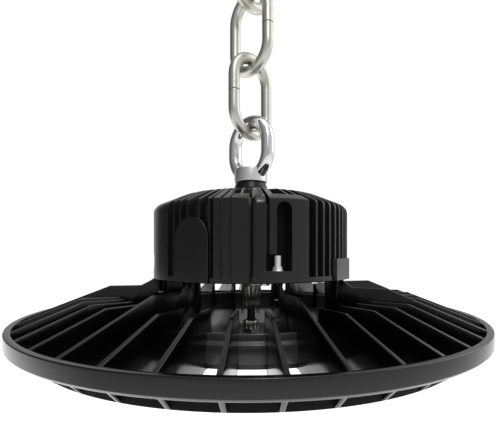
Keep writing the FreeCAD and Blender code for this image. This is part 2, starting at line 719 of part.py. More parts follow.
def driver_housing():
    """A die-cast drum: thin and wide fins, flat pads and nut pockets on a closed wall."""
    plate_low = "seat + 1"
    inner = "(hub_radius - fin_bite)"
    outer = "(driver_radius + fin_bite)"
    short = f"({CORE_RADIUS} - fin_bite)"
    long_fin = box("long_fin", "thin_fin", f"{outer} - {inner}", f"hub_top - {plate_low}",
                   y=f"-({outer} + {inner}) / 2", z=plate_low)
    top_fin = box("top_fin", "thin_fin", f"{short} - {inner}", f"hub_top - {plate_low}",
                  y=f"-({short} + {inner}) / 2", z=plate_low)
    first, number = FINNED
    pitch = value("fin_pitch")
    every = round_circle(360 / pitch, first)
    long_angles = [q + first + i * pitch for q in QUARTERS for i in range(number)]
    top_angles = [a for a in every
                  if min(abs((a - b + 180) % 360 - 180) for b in long_angles) > pitch / 2]
    ribs = copies("long_fin_copy", long_fin, long_angles)
    ribs += copies("top_fin_copy", top_fin, top_angles)
    for i, (start, end) in enumerate(WIDE):
        wedge = sector(f"wide_fin_{i}", start, end)
        ring = cut(f"wide_fin_ring_{i}", wedge,
                   cylinder(f"wide_fin_bore_{i}", "driver_radius - 1.5 * groove", "hub_top"))
        ribs += copies(f"wide_fin_copy_{i}", ring, QUARTERS)
    finned = common("finned", fuse("ribs", [driver_core()] + ribs), driver_envelope())
    arched = flat_pad("arched_pad", "plate_width", "plate_tall", True)
    short = flat_pad("short_pad", "plate_width", "plate_short", False)
    pads = copies("arched_pad_copy", arched, (PLATES + 270, PLATES + 90))
    pads += copies("short_pad_copy", short, (PLATES, PLATES + 180))
    pads.append(inlet_pad())
    outside = fuse("driver_outside", [finned] + pads)

    roof = "(hub_rim - groove - shell)"
    inside = turning("driver_inside", [
        ("0", "seat - 1"), ("cover_radius + cover_play", "seat - 1"),
        ("cover_radius + cover_play", SHELF), (CAVITY_RADIUS, SHELF),
        (CAVITY_RADIUS, "shoulder - groove - shell"), ("dome_knee - 5", "dome_knee_up - groove - shell"),
        ("hub_radius", roof), ("0", roof)])
    screw_boss = cylinder("cover_boss", "screw_head + 0.8", f"{CIRCUIT_FOOT} - {SHELF} + 2",
                          y="-cover_screw_ring", z=SHELF)
    bosses = copies("cover_boss_copy", screw_boss, cover_screw_angles())
    hollow = cut("driver_hollow", inside, fuse("cover_bosses", bosses))
    cuts = [hollow, cylinder("stud_passage", "stud_radius + thread_gap", "hub_top", z="seat")]
    for i, tool in enumerate(nut_pocket()):
        cuts += copies(f"pocket_copy_{i}", tool, QUARTERS)
    hole = cylinder("hold_hole", "hold_radius + 0.3", "pocket_low - seat + 2", y="-hold_ring",
                    z="seat - 1")
    cuts += copies("hold_hole_copy", hole, [q + HOLDING for q in QUARTERS])
    inlet = turned(cylinder("inlet_hole", "gland_neck + thread_gap", "driver_radius"), -90,
                   Vector(1, 0, 0))
    place(inlet, y="hub_radius", z="inlet_height")
    cuts.append(inlet)
    tapping = cylinder("cover_tapping", "screw_radius + thread_gap", "12",
                       y="-cover_screw_ring", z=f"{SHELF} - 1")
    cuts += copies("cover_tapping_copy", tapping, cover_screw_angles())
    subpart(cut("driver_body", outside, fuse("driver_cuts", cuts)), "driver_housing")


def cover_screw_angles():
    return round_circle(value("cover_screws"), 8.0)


def driver_cover():
    """The plate that closes the driver from below, with the cable gland's hole."""
    plate = cylinder("cover_plate", "cover_radius", "cover_depth", z="seat")
    hole = cylinder("cover_hole", "screw_radius + 0.2", "cover_depth + 2",
                    y="-cover_screw_ring", z="seat - 1")
    holes = copies("cover_hole_copy", hole, cover_screw_angles())
    holes.append(cylinder("cover_gland_hole", "gland_neck + thread_gap", "cover_depth + 2",
                          y="-cable_front", z="seat - 1"))
    subpart(cut("cover", plate, fuse("cover_holes", holes)), "driver_cover")
    seal = turning("cover_gasket", [
        (f"{CAVITY_RADIUS} + 0.2 - cover_seal_width / 2", COVER_TOP),
        ("cover_radius", COVER_TOP), ("cover_radius", SHELF),
        (f"{CAVITY_RADIUS} + 0.2 - cover_seal_width / 2", SHELF)])
    subpart(seal, "cover_seal")
    one = screw("cover_screw", "cover_depth + 7")
    place(one, y="-cover_screw_ring", z="seat")
    subpart(group("cover_screw_group", copies("cover_screw_copy", one, cover_screw_angles())),
            "cover_screws")


def holding_nuts():
    """Studs that stand in the tall fins and the nuts that hold the driver on them."""
    angles = [q + HOLDING for q in QUARTERS]
    stud = cylinder("hold_stud", "hold_radius", "hold_top - seat + hold_bite",
                    y="-hold_ring", z="seat - hold_bite")
    subpart(group("hold_stud_group", copies("hold_stud_copy", stud, angles)), "holding_studs")
    nut = cut("hold_nut_piece",
              fuse("hold_nut_solid", [hexagon("hold_nut_hex", "hold_nut", "hold_nut_depth"),
                                      cone("hold_nut_flange", "hold_nut + 0.6", "hold_nut - 0.6",
                                           "hold_nut_depth / 2")]),
              cylinder("hold_nut_bore", "hold_radius + thread_gap", "hold_nut_depth + 2", z="-1"))
    place(nut, y="-hold_ring", z="pocket_low")
    subpart(group("hold_nut_group", copies("hold_nut_copy", nut, angles)), "holding_nuts")


# Glands and the cable ----------------------------------------------------------------------------

def gland(label, corner, nose, tail, seat_on, turn):
    """A cable gland that points along +Z from zero: body, clamping nut and seal.

    `nose` holds the nut's height, its nose's length, and the nose's foot and tip radius.
    """
    long, nose_long, nose_foot, nose_tip = nose
    bore = "(cable_radius + thread_gap)"
    collar = "(cable_radius + gland_collar)"
    mouth = "(cable_radius + gland_seal)"
    rise = f"({long} - gland_lip)"
    top = f"({long} + {nose_long})"
    body = cut(f"{label}_gland_cut", fuse(f"{label}_gland_solid", [
        hexagon(f"{label}_gland_hex", f"{corner}", "gland_flange"),
        cylinder(f"{label}_gland_tail", "gland_neck", tail, z=f"-({tail})"),
        cylinder(f"{label}_gland_collar", collar, rise, z="gland_flange")]),
        cylinder(f"{label}_gland_bore", bore, f"({tail}) + gland_flange + {long} + 2",
                 z=f"-({tail}) - 1"))
    skirt = hexagon(f"{label}_nut_hex", f"{corner} - gland_lap", f"{long} - thread_gap",
                    z="thread_gap")
    cap = cone(f"{label}_nut_nose", nose_foot, nose_tip, nose_long, z=long)
    nut = cut(f"{label}_nut_cut", fuse(f"{label}_nut_solid", [skirt, cap]),
              fuse(f"{label}_nut_inside", [
                  cylinder(f"{label}_nut_thread", f"{collar} + thread_gap",
                           f"{rise} + thread_gap"),
                  cylinder(f"{label}_nut_mouth", mouth, f"{top} + 2", z="-1")]))
    seal = cut(f"{label}_seal_cut",
               cylinder(f"{label}_seal_tube", f"{mouth} - thread_gap", f"{top} - {rise}", z=rise),
               cylinder(f"{label}_seal_bore", "cable_radius + thread_gap", f"{top} + 2", z="-1"))
    x, y, z = seat_on
    way_y, way_z = {0: (0, 1), 180: (0, -1), -90: (1, 0)}[turn]
    for item, node, lift in ((body, "gland_body", "0"), (nut, "gland_nut", "gland_flange"),
                             (seal, "gland_seal", "gland_flange")):
        turned(item, turn, Vector(1, 0, 0))
        subpart(item, f"{label}_{node}", x, f"{y} + {way_y} * {lift}", f"{z} + {way_z} * {lift}")


def glands():
    front = "-cable_front"
    gland("upper", "gland_hex", ("gland_nut_long", "gland_nose", "gland_nose_foot",
                                 "gland_nose_tip"), "gland_tail", ("0", front, "seat"), 180)
    gland("lower", "small_hex", ("small_nut_long", "small_nose", "gland_nose_foot",
                                 "gland_nose_tip + small_nose"), "floor_depth",
          ("0", front, "-pan_floor"), 0)
    gland("mains", "gland_hex", ("gland_nut_long", "mains_nose", "gland_nose_foot + small_nose",
                                 "gland_nose_foot"), "gland_tail",
          ("0", "plate_face", "inlet_height"), -90)
    cable = cylinder("cable", "cable_radius", f"seat + gland_tail + cable_end + {BOARD_TOP}")
    subpart(cable, "dc_cable", "0", front, f"-{BOARD_TOP}")


# Inside the driver ---------------------------------------------------------------------------------

def driver_inside_pieces():
    """The circuit board on its pillars, and the large components on it."""
    pillar = cylinder("pillar", "pillar_radius", "pillar_height", y="-pillar_ring", z=COVER_TOP)
    subpart(group("pillar_group", copies("pillar_copy", pillar, round_circle(4, 30))),
            "board_pillars")
    passage = cylinder("circuit_gap", "cable_radius + 4", "circuit_depth + 2", y="-cable_front",
                       z="-1")
    circuit = cut("circuit", cylinder("circuit_disc", "circuit_radius", "circuit_depth"), passage)
    subpart(circuit, "driver_board", z=CIRCUIT_FOOT)
    core = box("core_block", "core_long", "core_wide", "core_tall")
    window = box("core_window", "core_long - 2 * coil_wall", "core_wide + 2",
                 "core_tall - 2 * coil_wall", z="coil_wall")
    centre = cylinder("core_centre", "core_wide / 2 - 2", "core_tall")
    frame = fuse("core_frame", [cut("core_open", core, window), centre])
    subpart(frame, "transformer_core", "-22", "8", CIRCUIT_TOP)
    coil = cut("coil", cylinder("coil_outside", "coil_radius - 2", "core_tall - 2 * coil_wall"),
               cylinder("coil_bore", "core_wide / 2 - 2 + thread_gap", "core_tall", z="-1"))
    subpart(coil, "transformer_coil", "-22", "8", f"{CIRCUIT_TOP} + coil_wall")
    can = cylinder("can", "can_radius", "can_height")
    cans = group("can_group", spread("can_copy", can, [(26, 26), (26, 4), (6, 38)]))
    subpart(cans, "smoothing_capacitors", z=CIRCUIT_TOP)
    choke = doc.addObject("Part::Torus", "choke")
    bind(choke, Radius1="choke_radius", Radius2="choke_wire")
    subpart(choke, "choke", "26", "-26", f"{CIRCUIT_TOP} + choke_wire")


# Build, check and write ------------------------------------------------------------------------------

def build():
    chain()
    lifting_eye()
    top_collar()
    lock_washer()
    hanging_stud()
    heat_sink()
    light_engine()
    lens()
    lens_seal()
    lens_ring()
    lens_screws()
    driver_housing()
    driver_cover()
    holding_nuts()
    glands()
    driver_inside_pieces()
    doc.recompute()


def check():
    for item in doc.Objects:
        if "Invalid" in item.State or "Error" in item.State:
            raise RuntimeError(f"{item.Name} failed: {item.State}")
    for item in SUBPARTS:
        if item.Shape.isNull() or not item.Shape.isValid() or not item.Shape.Solids:
            raise RuntimeError(f"{item.Label} has no valid solid")


def write():
    os.makedirs("parts", exist_ok=True)
    for item in SUBPARTS:
        item.Shape.exportStep(f"parts/{item.Label}.step")
        box_ = item.Shape.BoundBox
        print(f"{item.Label:22s} {len(item.Shape.Solids):3d} {item.Shape.Volume / 1000:9.2f} cm3 "
              f"z {box_.ZMin:8.2f} {box_.ZMax:8.2f}")


build()
check()
write()
print("drop", round(value(DROP), 3))
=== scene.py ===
# %% [markdown]
# # A high bay light on three links of chain
#
# Lengths are in millimetres in the text and in the values below, and in metres in the meshes.
# The lamp's own frame has its axis on Z and the top plane of the rim at zero. The hanging point,
# which is the scene's origin, lies `DROP` above that plane.

# %% Load the frame
import math

import bmesh
import bpy
import numpy as np
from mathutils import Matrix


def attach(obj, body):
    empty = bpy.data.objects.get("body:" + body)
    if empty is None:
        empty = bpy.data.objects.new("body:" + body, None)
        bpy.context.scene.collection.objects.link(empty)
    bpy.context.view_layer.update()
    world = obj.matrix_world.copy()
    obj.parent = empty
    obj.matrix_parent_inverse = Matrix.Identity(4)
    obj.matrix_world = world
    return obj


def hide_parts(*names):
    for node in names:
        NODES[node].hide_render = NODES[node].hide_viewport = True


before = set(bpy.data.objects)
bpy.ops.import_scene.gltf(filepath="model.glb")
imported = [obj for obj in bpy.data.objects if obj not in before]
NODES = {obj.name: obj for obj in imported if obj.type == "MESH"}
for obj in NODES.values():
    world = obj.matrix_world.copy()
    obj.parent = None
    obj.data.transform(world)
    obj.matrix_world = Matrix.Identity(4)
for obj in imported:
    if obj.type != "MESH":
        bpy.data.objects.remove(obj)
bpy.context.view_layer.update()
print("frame loaded:", len(NODES), "nodes")

# %% Sizes of the lamp
MM = 0.001
DROP = 344.5              # from the rim's top plane up to the hanging point
SEAT = 30.4               # the drum stands on the tall fins at this height
HUB_SEAT = 109.4          # the collar stands on the washer at this height
DRUM_R = 86.5
CABLE = (0, -45)          # where the short cable runs, in front of the axis
AXIS = 0.01               # a turned outline stops this short of its axis, so no face shrinks away
print("rim's top plane", DROP, "mm under the hanging point, drum", 2 * DRUM_R, "mm across")


# %% [markdown]
# ## Shared effects
#
# A node group holds what several materials share. Its sockets carry a maker's words.

# %% Node helpers
def new_group(name, inputs, outputs):
    """An empty shader group with the named sockets; inputs maps a name to its default."""
    tree = bpy.data.node_groups.new(name, "ShaderNodeTree")
    for label, default in inputs.items():
        socket = tree.interface.new_socket(label, in_out="INPUT", socket_type="NodeSocketFloat")
        socket.default_value = default
    tree.interface.new_socket("Edge normal", in_out="INPUT", socket_type="NodeSocketVector")
    for label, kind in outputs.items():
        tree.interface.new_socket(label, in_out="OUTPUT", socket_type=kind)
    return tree, tree.nodes.new("NodeGroupInput"), tree.nodes.new("NodeGroupOutput")


def per_metre(tree, given, label):
    """Turns a size in millimetres into a texture scale on metres."""
    scale = tree.nodes.new("ShaderNodeMath")
    scale.operation = "DIVIDE"
    scale.inputs[0].default_value = 1 / MM
    tree.links.new(given.outputs[label], scale.inputs[1])
    return scale.outputs[0]


def bump_of(tree, given, height, result):
    """Ends a group with a bump whose depth comes from its socket in millimetres."""
    metres, bump = tree.nodes.new("ShaderNodeMath"), tree.nodes.new("ShaderNodeBump")
    metres.operation = "MULTIPLY"
    metres.inputs[1].default_value = MM
    tree.links.new(given.outputs["Depth mm"], metres.inputs[0])
    tree.links.new(height, bump.inputs["Height"])
    tree.links.new(metres.outputs[0], bump.inputs["Distance"])
    tree.links.new(given.outputs["Edge normal"], bump.inputs["Normal"])
    tree.links.new(bump.outputs["Normal"], result.inputs["Normal"])


def cast_skin():
    """Fine orange peel with a few broad waves, as a coat leaves on a casting or a moulding."""
    tree, given, result = new_group(
        "Cast skin", {"Grain size mm": 0.5, "Depth mm": 0.02, "Wave size mm": 14.0},
        {"Normal": "NodeSocketVector", "Unevenness": "NodeSocketFloat"})
    where = tree.nodes.new("ShaderNodeTexCoord")
    noises = []
    for label in ("Grain size mm", "Wave size mm"):
        noise = tree.nodes.new("ShaderNodeTexNoise")
        noise.inputs["Detail"].default_value = 2
        tree.links.new(per_metre(tree, given, label), noise.inputs["Scale"])
        tree.links.new(where.outputs["Object"], noise.inputs["Vector"])
        noises.append(noise)
    bump_of(tree, given, noises[0].outputs["Fac"], result)
    tree.links.new(noises[1].outputs["Fac"], result.inputs["Unevenness"])
    return tree


DRAWN_OUT = 0.12                        # scale along Z, which draws the streaks out upwards
CLEAR_BELOW, HAZY_ABOVE = 0.12, 0.42    # levels of the two noises multiplied


def plating_haze():
    """Clouds and drawn-out streaks of a plated wire: where it is hazy and where it is clear."""
    tree, given, result = new_group(
        "Plating haze", {"Cloud size mm": 9.0, "Streak size mm": 1.2, "Depth mm": 0.004},
        {"Haze": "NodeSocketFloat", "Normal": "NodeSocketVector"})
    n, link = tree.nodes.new, tree.links.new
    where = n("ShaderNodeTexCoord")
    cloud, streak = n("ShaderNodeTexNoise"), n("ShaderNodeTexNoise")
    drawn = n("ShaderNodeMapping")
    drawn.inputs["Scale"].default_value = (1, 1, DRAWN_OUT)
    link(where.outputs["Object"], cloud.inputs["Vector"])
    link(where.outputs["Object"], drawn.inputs["Vector"])
    link(drawn.outputs["Vector"], streak.inputs["Vector"])
    link(per_metre(tree, given, "Cloud size mm"), cloud.inputs["Scale"])
    link(per_metre(tree, given, "Streak size mm"), streak.inputs["Scale"])
    both = n("ShaderNodeMath")
    both.operation = "MULTIPLY"
    link(cloud.outputs["Fac"], both.inputs[0])
    link(streak.outputs["Fac"], both.inputs[1])
    wide = n("ShaderNodeMapRange")
    wide.inputs["From Min"].default_value = CLEAR_BELOW
    wide.inputs["From Max"].default_value = HAZY_ABOVE
    link(both.outputs[0], wide.inputs["Value"])
    link(wide.outputs["Result"], result.inputs["Haze"])
    bump_of(tree, given, streak.outputs["Fac"], result)
    return tree


def turned_lines():
    """Fine rings that a lathe tool leaves round a vertical axis."""
    tree, given, result = new_group(
        "Turned lines", {"Spacing mm": 0.6, "Depth mm": 0.006},
        {"Normal": "NodeSocketVector", "Ring": "NodeSocketFloat"})
    n, link = tree.nodes.new, tree.links.new
    where, bands = n("ShaderNodeTexCoord"), n("ShaderNodeTexWave")
    bands.bands_direction = "Z"
    bands.inputs["Distortion"].default_value = 1.5
    bands.inputs["Detail Scale"].default_value = 0.6
    link(where.outputs["Object"], bands.inputs["Vector"])
    link(per_metre(tree, given, "Spacing mm"), bands.inputs["Scale"])
    bump_of(tree, given, bands.outputs["Fac"], result)
    link(bands.outputs["Fac"], result.inputs["Ring"])
    return tree


CAST_SKIN, PLATING_HAZE, TURNED_LINES = cast_skin(), plating_haze(), turned_lines()
print("effects:", ", ".join(g.name for g in (CAST_SKIN, PLATING_HAZE, TURNED_LINES)))


# %% [markdown]
# ## Finishes
#
# A material keeps its own shader, and takes grain, haze or tool marks from a shared effect. Every
# edge is seen as slightly rounded, because no coat leaves a sharp one.

# %% Materials
CAST_EDGE, PLATED_EDGE, TURNED_EDGE = 0.3, 0.15, 0.2    # radius that an edge seems to have
TURNED_UNEVEN = 0.03                                    # roughness between a tool's rings


def plain(name, colour, rough, metal=0.0, **more):
    """A principled material with uniform values."""
    mat = bpy.data.materials.new(name)
    mat.use_nodes = True
    bsdf = mat.node_tree.nodes["Principled BSDF"]
    bsdf.inputs["Base Color"].default_value = (*colour, 1)
    bsdf.inputs["Roughness"].default_value = rough
    bsdf.inputs["Metallic"].default_value = metal
    for label, value in more.items():
        bsdf.inputs[label.replace("_", " ")].default_value = value
    return mat


def effect(mat, group, edge_mm, **values):
    """Places a shared effect in a material with its own values and rounds the edges it sees."""
    tree = mat.node_tree
    node, bevel = tree.nodes.new("ShaderNodeGroup"), tree.nodes.new("ShaderNodeBevel")
    node.node_tree = group
    bevel.samples = 4
    bevel.inputs["Radius"].default_value = edge_mm * MM
    tree.links.new(bevel.outputs["Normal"], node.inputs["Edge normal"])
    tree.links.new(node.outputs["Normal"], tree.nodes["Principled BSDF"].inputs["Normal"])
    for label, value in values.items():
        node.inputs[label.replace("_", " ")].default_value = value
    return node


def colour_mix(tree, factor):
    """A mix of two colours: the sockets of its first and second colour, and of its result."""
    mix = tree.nodes.new("ShaderNodeMix")
    mix.data_type = "RGBA"
    tree.links.new(factor, mix.inputs[0])
    return mix.inputs[6], mix.inputs[7], mix.outputs[2]


def between(tree, value, low, high, socket):
    """Spreads a value from 0 to 1 between two numbers and feeds it to a socket."""
    spread = tree.nodes.new("ShaderNodeMapRange")
    spread.inputs["To Min"].default_value, spread.inputs["To Max"].default_value = low, high
    tree.links.new(value, spread.inputs["Value"])
    tree.links.new(spread.outputs["Result"], socket)


def coated(name, colour, rough, uneven=0.03, grain=0.5, depth=0.012, edge=CAST_EDGE, **more):
    """One colour with a fine peel, its gloss uneven in broad waves."""
    mat = plain(name, colour, rough, **more)
    skin = effect(mat, CAST_SKIN, edge, Grain_size_mm=grain, Depth_mm=depth)
    tree = mat.node_tree
    between(tree, skin.outputs["Unevenness"], rough - uneven, rough + uneven,
            tree.nodes["Principled BSDF"].inputs["Roughness"])
    return mat


def plated(name, clear, hazy, rough, uneven, cloud=9.0, streak=1.2, depth=0.004):
    """Bright metal plating: clear in one place and a little hazy and darker in another."""
    mat = plain(name, clear, rough, 1.0)
    haze = effect(mat, PLATING_HAZE, PLATED_EDGE, Cloud_size_mm=cloud, Streak_size_mm=streak,
                  Depth_mm=depth)
    tree, bsdf = mat.node_tree, mat.node_tree.nodes["Principled BSDF"]
    first, second, mixed = colour_mix(tree, haze.outputs["Haze"])
    first.default_value, second.default_value = (*clear, 1), (*hazy, 1)
    tree.links.new(mixed, bsdf.inputs["Base Color"])
    between(tree, haze.outputs["Haze"], rough - uneven, rough + uneven, bsdf.inputs["Roughness"])
    return mat


def lathe_cut(name, colour, rough, spacing, depth, metal=1.0, **more):
    """A turned part with its tool marks."""
    mat = plain(name, colour, rough, metal, **more)
    rings = effect(mat, TURNED_LINES, TURNED_EDGE, Spacing_mm=spacing, Depth_mm=depth)
    tree = mat.node_tree
    between(tree, rings.outputs["Ring"], rough - TURNED_UNEVEN, rough + TURNED_UNEVEN,
            tree.nodes["Principled BSDF"].inputs["Roughness"])
    return mat


BLACK = (0.0015, 0.0015, 0.0016)
CASTING = coated("gloss black casting", BLACK, 0.17)
DRUM = coated("black drum casting", BLACK, 0.19, 0.02, 0.6, 0.006, edge=0.7)
RECESS = coated("matt recess", (0.006, 0.006, 0.0065), 0.45, grain=0.7)
# painted shade: the casting's black with little gloss, laid where shade falls: the lower ring, the
# pan's floor and the drum's deep slots
SHADE = coated("painted shade black", BLACK, 0.6, grain=0.8, Specular_IOR_Level=0.15)
# painted sheen: the pan is part of the same black casting, given a lighter grey to stand for the
# light its wall reflects
PAN_SHEEN = coated("pan painted sheen", (0.03, 0.03, 0.03), 0.2)
BRASS = plated("nickelled brass", (0.44, 0.44, 0.43), (0.38, 0.38, 0.36), 0.22, 0.04, cloud=4)
NICKEL = plated("satin nickel link", (0.60, 0.59, 0.54), (0.54, 0.54, 0.48), 0.36, 0.04,
                streak=2.5, depth=0.0008)
CHROME = plated("polished eye", (0.81, 0.81, 0.82), (0.76, 0.76, 0.76), 0.11, 0.02, depth=0.0004)
SATIN = lathe_cut("satin boss", (0.74, 0.74, 0.75), 0.34, 0.5, 0.002)
ZINC = plated("bright zinc", (0.82, 0.82, 0.84), (0.72, 0.72, 0.70), 0.2, 0.05, cloud=5)
STUD_ZINC = coated("bright stud", (0.86, 0.86, 0.87), 0.42, 0.05, 0.3, 0.01, Metallic=0.5)
COLLAR = lathe_cut("black collar", (0.002, 0.002, 0.002), 0.34, 0.7, 0.003, 0.0,
                   Specular_IOR_Level=0.38)
NYLON = coated("black nylon gland", (0.004, 0.004, 0.0045), 0.3, 0.05, 0.8)
SHEATH = coated("cable sheath", (0.006, 0.006, 0.006), 0.35, 0.05, 0.9)
RUBBER = coated("seal rubber", (0.03, 0.03, 0.03), 0.7, 0.08, 0.4)
LENS = plain("clear lens", (0.95, 0.97, 0.98), 0.05, Transmission_Weight=1.0, IOR=1.49)
effect(LENS, CAST_SKIN, 0.2, Grain_size_mm=2.5, Depth_mm=0.01)
BOARD = coated("white light board", (0.85, 0.85, 0.83), 0.45, 0.05, 0.3, 0.004)
CHIP = coated("light chip", (0.85, 0.62, 0.12), 0.4, 0.05, 0.15, 0.01)
# painted shade: a dark band round the weld groove of each link, standing for the shadow in the
# groove
WELD_SHADE = coated("dark weld seam", (0.02, 0.018, 0.015), 0.6, grain=0.2)
HEAT_PAD = coated("grey heat pad", (0.25, 0.26, 0.28), 0.7, 0.06, 0.4)
GREEN_BOARD = coated("green driver board", (0.01, 0.09, 0.03), 0.4, 0.05, 0.3, 0.004)
FERRITE = coated("ferrite core", (0.02, 0.02, 0.022), 0.55, 0.05, 0.3)
COIL_TAPE = coated("yellow coil tape", (0.75, 0.5, 0.05), 0.45, 0.05, 0.4)
SLEEVE = coated("capacitor sleeve", (0.01, 0.015, 0.05), 0.35, 0.04, 0.5)

FINISH = {
    "chain_top_link": NICKEL, "chain_middle_link": NICKEL, "chain_lower_link": NICKEL,
    "lifting_eye": CHROME, "top_collar": COLLAR, "lock_washer": ZINC, "hanging_stud": ZINC,
    "stud_washer": ZINC, "stud_nut": ZINC, "heat_sink": CASTING, "lens_ring": CASTING,
    "driver_housing": DRUM, "driver_cover": DRUM, "lens_screws": ZINC,
    "cover_screws": ZINC, "holding_studs": STUD_ZINC, "holding_nuts": STUD_ZINC,
    "board_pillars": ZINC,
    "upper_gland_body": BRASS, "upper_gland_nut": BRASS, "lower_gland_body": BRASS,
    "lower_gland_nut": BRASS, "mains_gland_body": NYLON, "mains_gland_nut": NYLON,
    "upper_gland_seal": RUBBER, "lower_gland_seal": RUBBER, "mains_gland_seal": RUBBER,
    "lens_seal": RUBBER, "cover_seal": RUBBER, "dc_cable": SHEATH, "lens": LENS,
    "led_board": BOARD, "led_chips": CHIP, "heat_pad": HEAT_PAD, "driver_board": GREEN_BOARD,
    "transformer_core": FERRITE, "transformer_coil": COIL_TAPE, "choke": COIL_TAPE,
    "smoothing_capacitors": SLEEVE,
}
for node, mat in FINISH.items():
    NODES[node].data.materials.clear()
    NODES[node].data.materials.append(mat)
print("finished nodes:", len(FINISH))


# %% [markdown]
# ## Surfaces on grids
#
# Every form is a grid of points. A loop goes round each station, and the stations follow one
# another along the form:
#
# $$P(i, j),\quad i = \text{station},\ j = \text{place round the loop}$$

# %% Grid helpers
def to_scene(points):
    """From the lamp's frame in millimetres to the scene in metres."""
    return (np.asarray(points, float) - (0, 0, DROP)) * MM


def quads(rows, cols, closed_rows, first):
    """Faces between neighbouring points of a grid whose rows are loops."""
    i = np.arange(rows if closed_rows else rows - 1)[:, None]
    j = np.arange(cols)[None, :]
    a, b = i * cols + j, i * cols + (j + 1) % cols
    c, d = ((i + 1) % rows) * cols + (j + 1) % cols, ((i + 1) % rows) * cols + j
    return (np.stack([a, b, c, d], -1).reshape(-1, 4) + first).tolist()


SHARP_ANGLE = 38          # an edge that turns by more than this is drawn sharp


def set_slots(obj, slots):
    """Gives every face of an object the number of its material."""
    obj.data.polygons.foreach_set("material_index", np.asarray(slots, int).tolist())


def piece(name, grids, materials, body, replaces):
    """One object from several grids; each is (points, closed_rows, caps, material number)."""
    verts, faces, slots = [], [], []
    for points, closed_rows, caps, slot in grids:
        rows, cols, _ = points.shape
        new = quads(rows, cols, closed_rows, len(verts))
        if caps and not closed_rows:
            new.append([len(verts) + j for j in reversed(range(cols))])
            new.append([len(verts) + (rows - 1) * cols + j for j in range(cols)])
        verts.extend(to_scene(points).reshape(-1, 3).tolist())
        faces.extend(new)
        slots.extend([slot] * len(new))
    mesh = bpy.data.meshes.new(name)
    mesh.from_pydata(verts, [], faces)
    for mat in materials:
        mesh.materials.append(mat)
    obj = bpy.data.objects.new(name, mesh)
    set_slots(obj, slots)
    mesh.polygons.foreach_set("use_smooth", [True] * len(faces))
    mesh.update()
    mesh.set_sharp_from_angle(angle=math.radians(SHARP_ANGLE))
    bpy.context.collection.objects.link(obj)
    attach(obj, body)
    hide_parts(*replaces)
    print(f"{name}: {len(verts)} points, {len(faces)} faces")
    return obj


def rounded(corners, radius, steps=4):
    """A closed outline with every corner rounded to the radius: (n, 2)."""
    corners = np.asarray(corners, float)
    share, out = 0.45, []       # a corner uses at most this share of a side
    for k, here in enumerate(corners):
        before, after = corners[k - 1], corners[(k + 1) % len(corners)]
        u = (before - here) / np.linalg.norm(before - here)
        v = (after - here) / np.linalg.norm(after - here)
        half = math.acos(np.clip(u @ v, -1, 1)) / 2
        back = min(radius / math.tan(half), share * np.linalg.norm(before - here),
                   share * np.linalg.norm(after - here))
        r = back * math.tan(half)
        centre = here + (u + v) / np.linalg.norm(u + v) * r / math.sin(half)
        start, end = here + u * back - centre, here + v * back - centre
        sweep = math.atan2(start[0] * end[1] - start[1] * end[0], start @ end)
        for f in np.linspace(0, 1, steps):
            a = f * sweep
            out.append(centre + (start[0] * math.cos(a) - start[1] * math.sin(a),
                                 start[0] * math.sin(a) + start[1] * math.cos(a)))
    return np.array(out)


def lathe(outline, steps, centre=(0, 0)):
    """Turns a closed outline (radius, height) about a vertical axis.

    P = (r sin a, -r cos a, z)
    """
    a = np.linspace(0, 2 * np.pi, steps, endpoint=False)[:, None]
    r, z = np.asarray(outline, float).T
    return np.stack([centre[0] + r * np.sin(a), centre[1] - r * np.cos(a),
                     np.broadcast_to(z, (steps, len(z)))], -1)


def spun(points, degrees):
    """Points turned about the lamp's axis."""
    a = math.radians(degrees)
    x, y, z = np.moveaxis(np.asarray(points, float), -1, 0)
    return np.stack([x * math.cos(a) - y * math.sin(a), x * math.sin(a) + y * math.cos(a), z], -1)


def along(corners, spacing):
    """Points along an open path, the corners kept, none further apart than the spacing."""
    out = [np.asarray(corners[0], float)]
    for a, b in zip(corners, corners[1:]):
        a, b = np.asarray(a, float), np.asarray(b, float)
        n = max(1, math.ceil(np.linalg.norm(b - a) / spacing))
        out.extend(a + (b - a) * k / n for k in range(1, n + 1))
    return np.array(out)


# %% [markdown]
# ## Chain
#
# A link is a round wire led along a racetrack. The resistance weld leaves a fine groove round
# one leg, between two low swellings:
#
# $$r(s) = \frac{d}{2}\left(1 + a\,e^{-(s/b)^2} - c\,e^{-(s/g)^2}\right)$$

# %% Chain links
WIRE, LINK_LONG, LINK_WIDE, PLAY, LINK_TURN = 10.0, 79.6, 52.1, 0.3, 45
LINK_PITCH = LINK_LONG - 2 * WIRE - PLAY
LOW_BAR = 161.3           # middle of the wire at the lower end of the lowest link
WELD_SWELL, WELD_REACH = 0.01, 2.2              # share of the radius, and how far it reaches
# the last value is the width of the dark band of painted shade at the weld
WELD_GROOVE, WELD_WIDTH, WELD_SHADE_WIDE = 0.06, 0.42, 0.7


def racetrack(mean, straight, fine_at=0.0, samples=180):
    """Centre line (w, z) and in-plane normals of a racetrack, from the middle of its +w leg up."""
    bend = math.pi * mean
    whole = 2 * (straight + bend)
    even = np.linspace(0, whole, samples, endpoint=False)
    near = np.concatenate([np.linspace(-3, -0.9, 6), np.linspace(-0.8, 0.8, 17),
                           np.linspace(0.9, 3, 6)])
    s = np.unique(np.round(np.concatenate([even, (fine_at + near) % whole]), 5))
    half = straight / 2
    place, normal = np.empty((len(s), 2)), np.empty((len(s), 2))
    for k, t in enumerate(s):
        if t < half or t >= whole - half:
            z = t if t < half else t - whole
            place[k], normal[k] = (mean, z), (1, 0)
        elif t < half + bend:
            a = (t - half) / mean
            normal[k] = math.cos(a), math.sin(a)
            place[k] = mean * normal[k] + (0, half)
        elif t < half + bend + straight:
            place[k], normal[k] = (-mean, half - (t - half - bend)), (-1, 0)
        else:
            a = math.pi + (t - half - bend - straight) / mean
            normal[k] = math.cos(a), math.sin(a)
            place[k] = mean * normal[k] - (0, half)
    return s, place, normal, whole


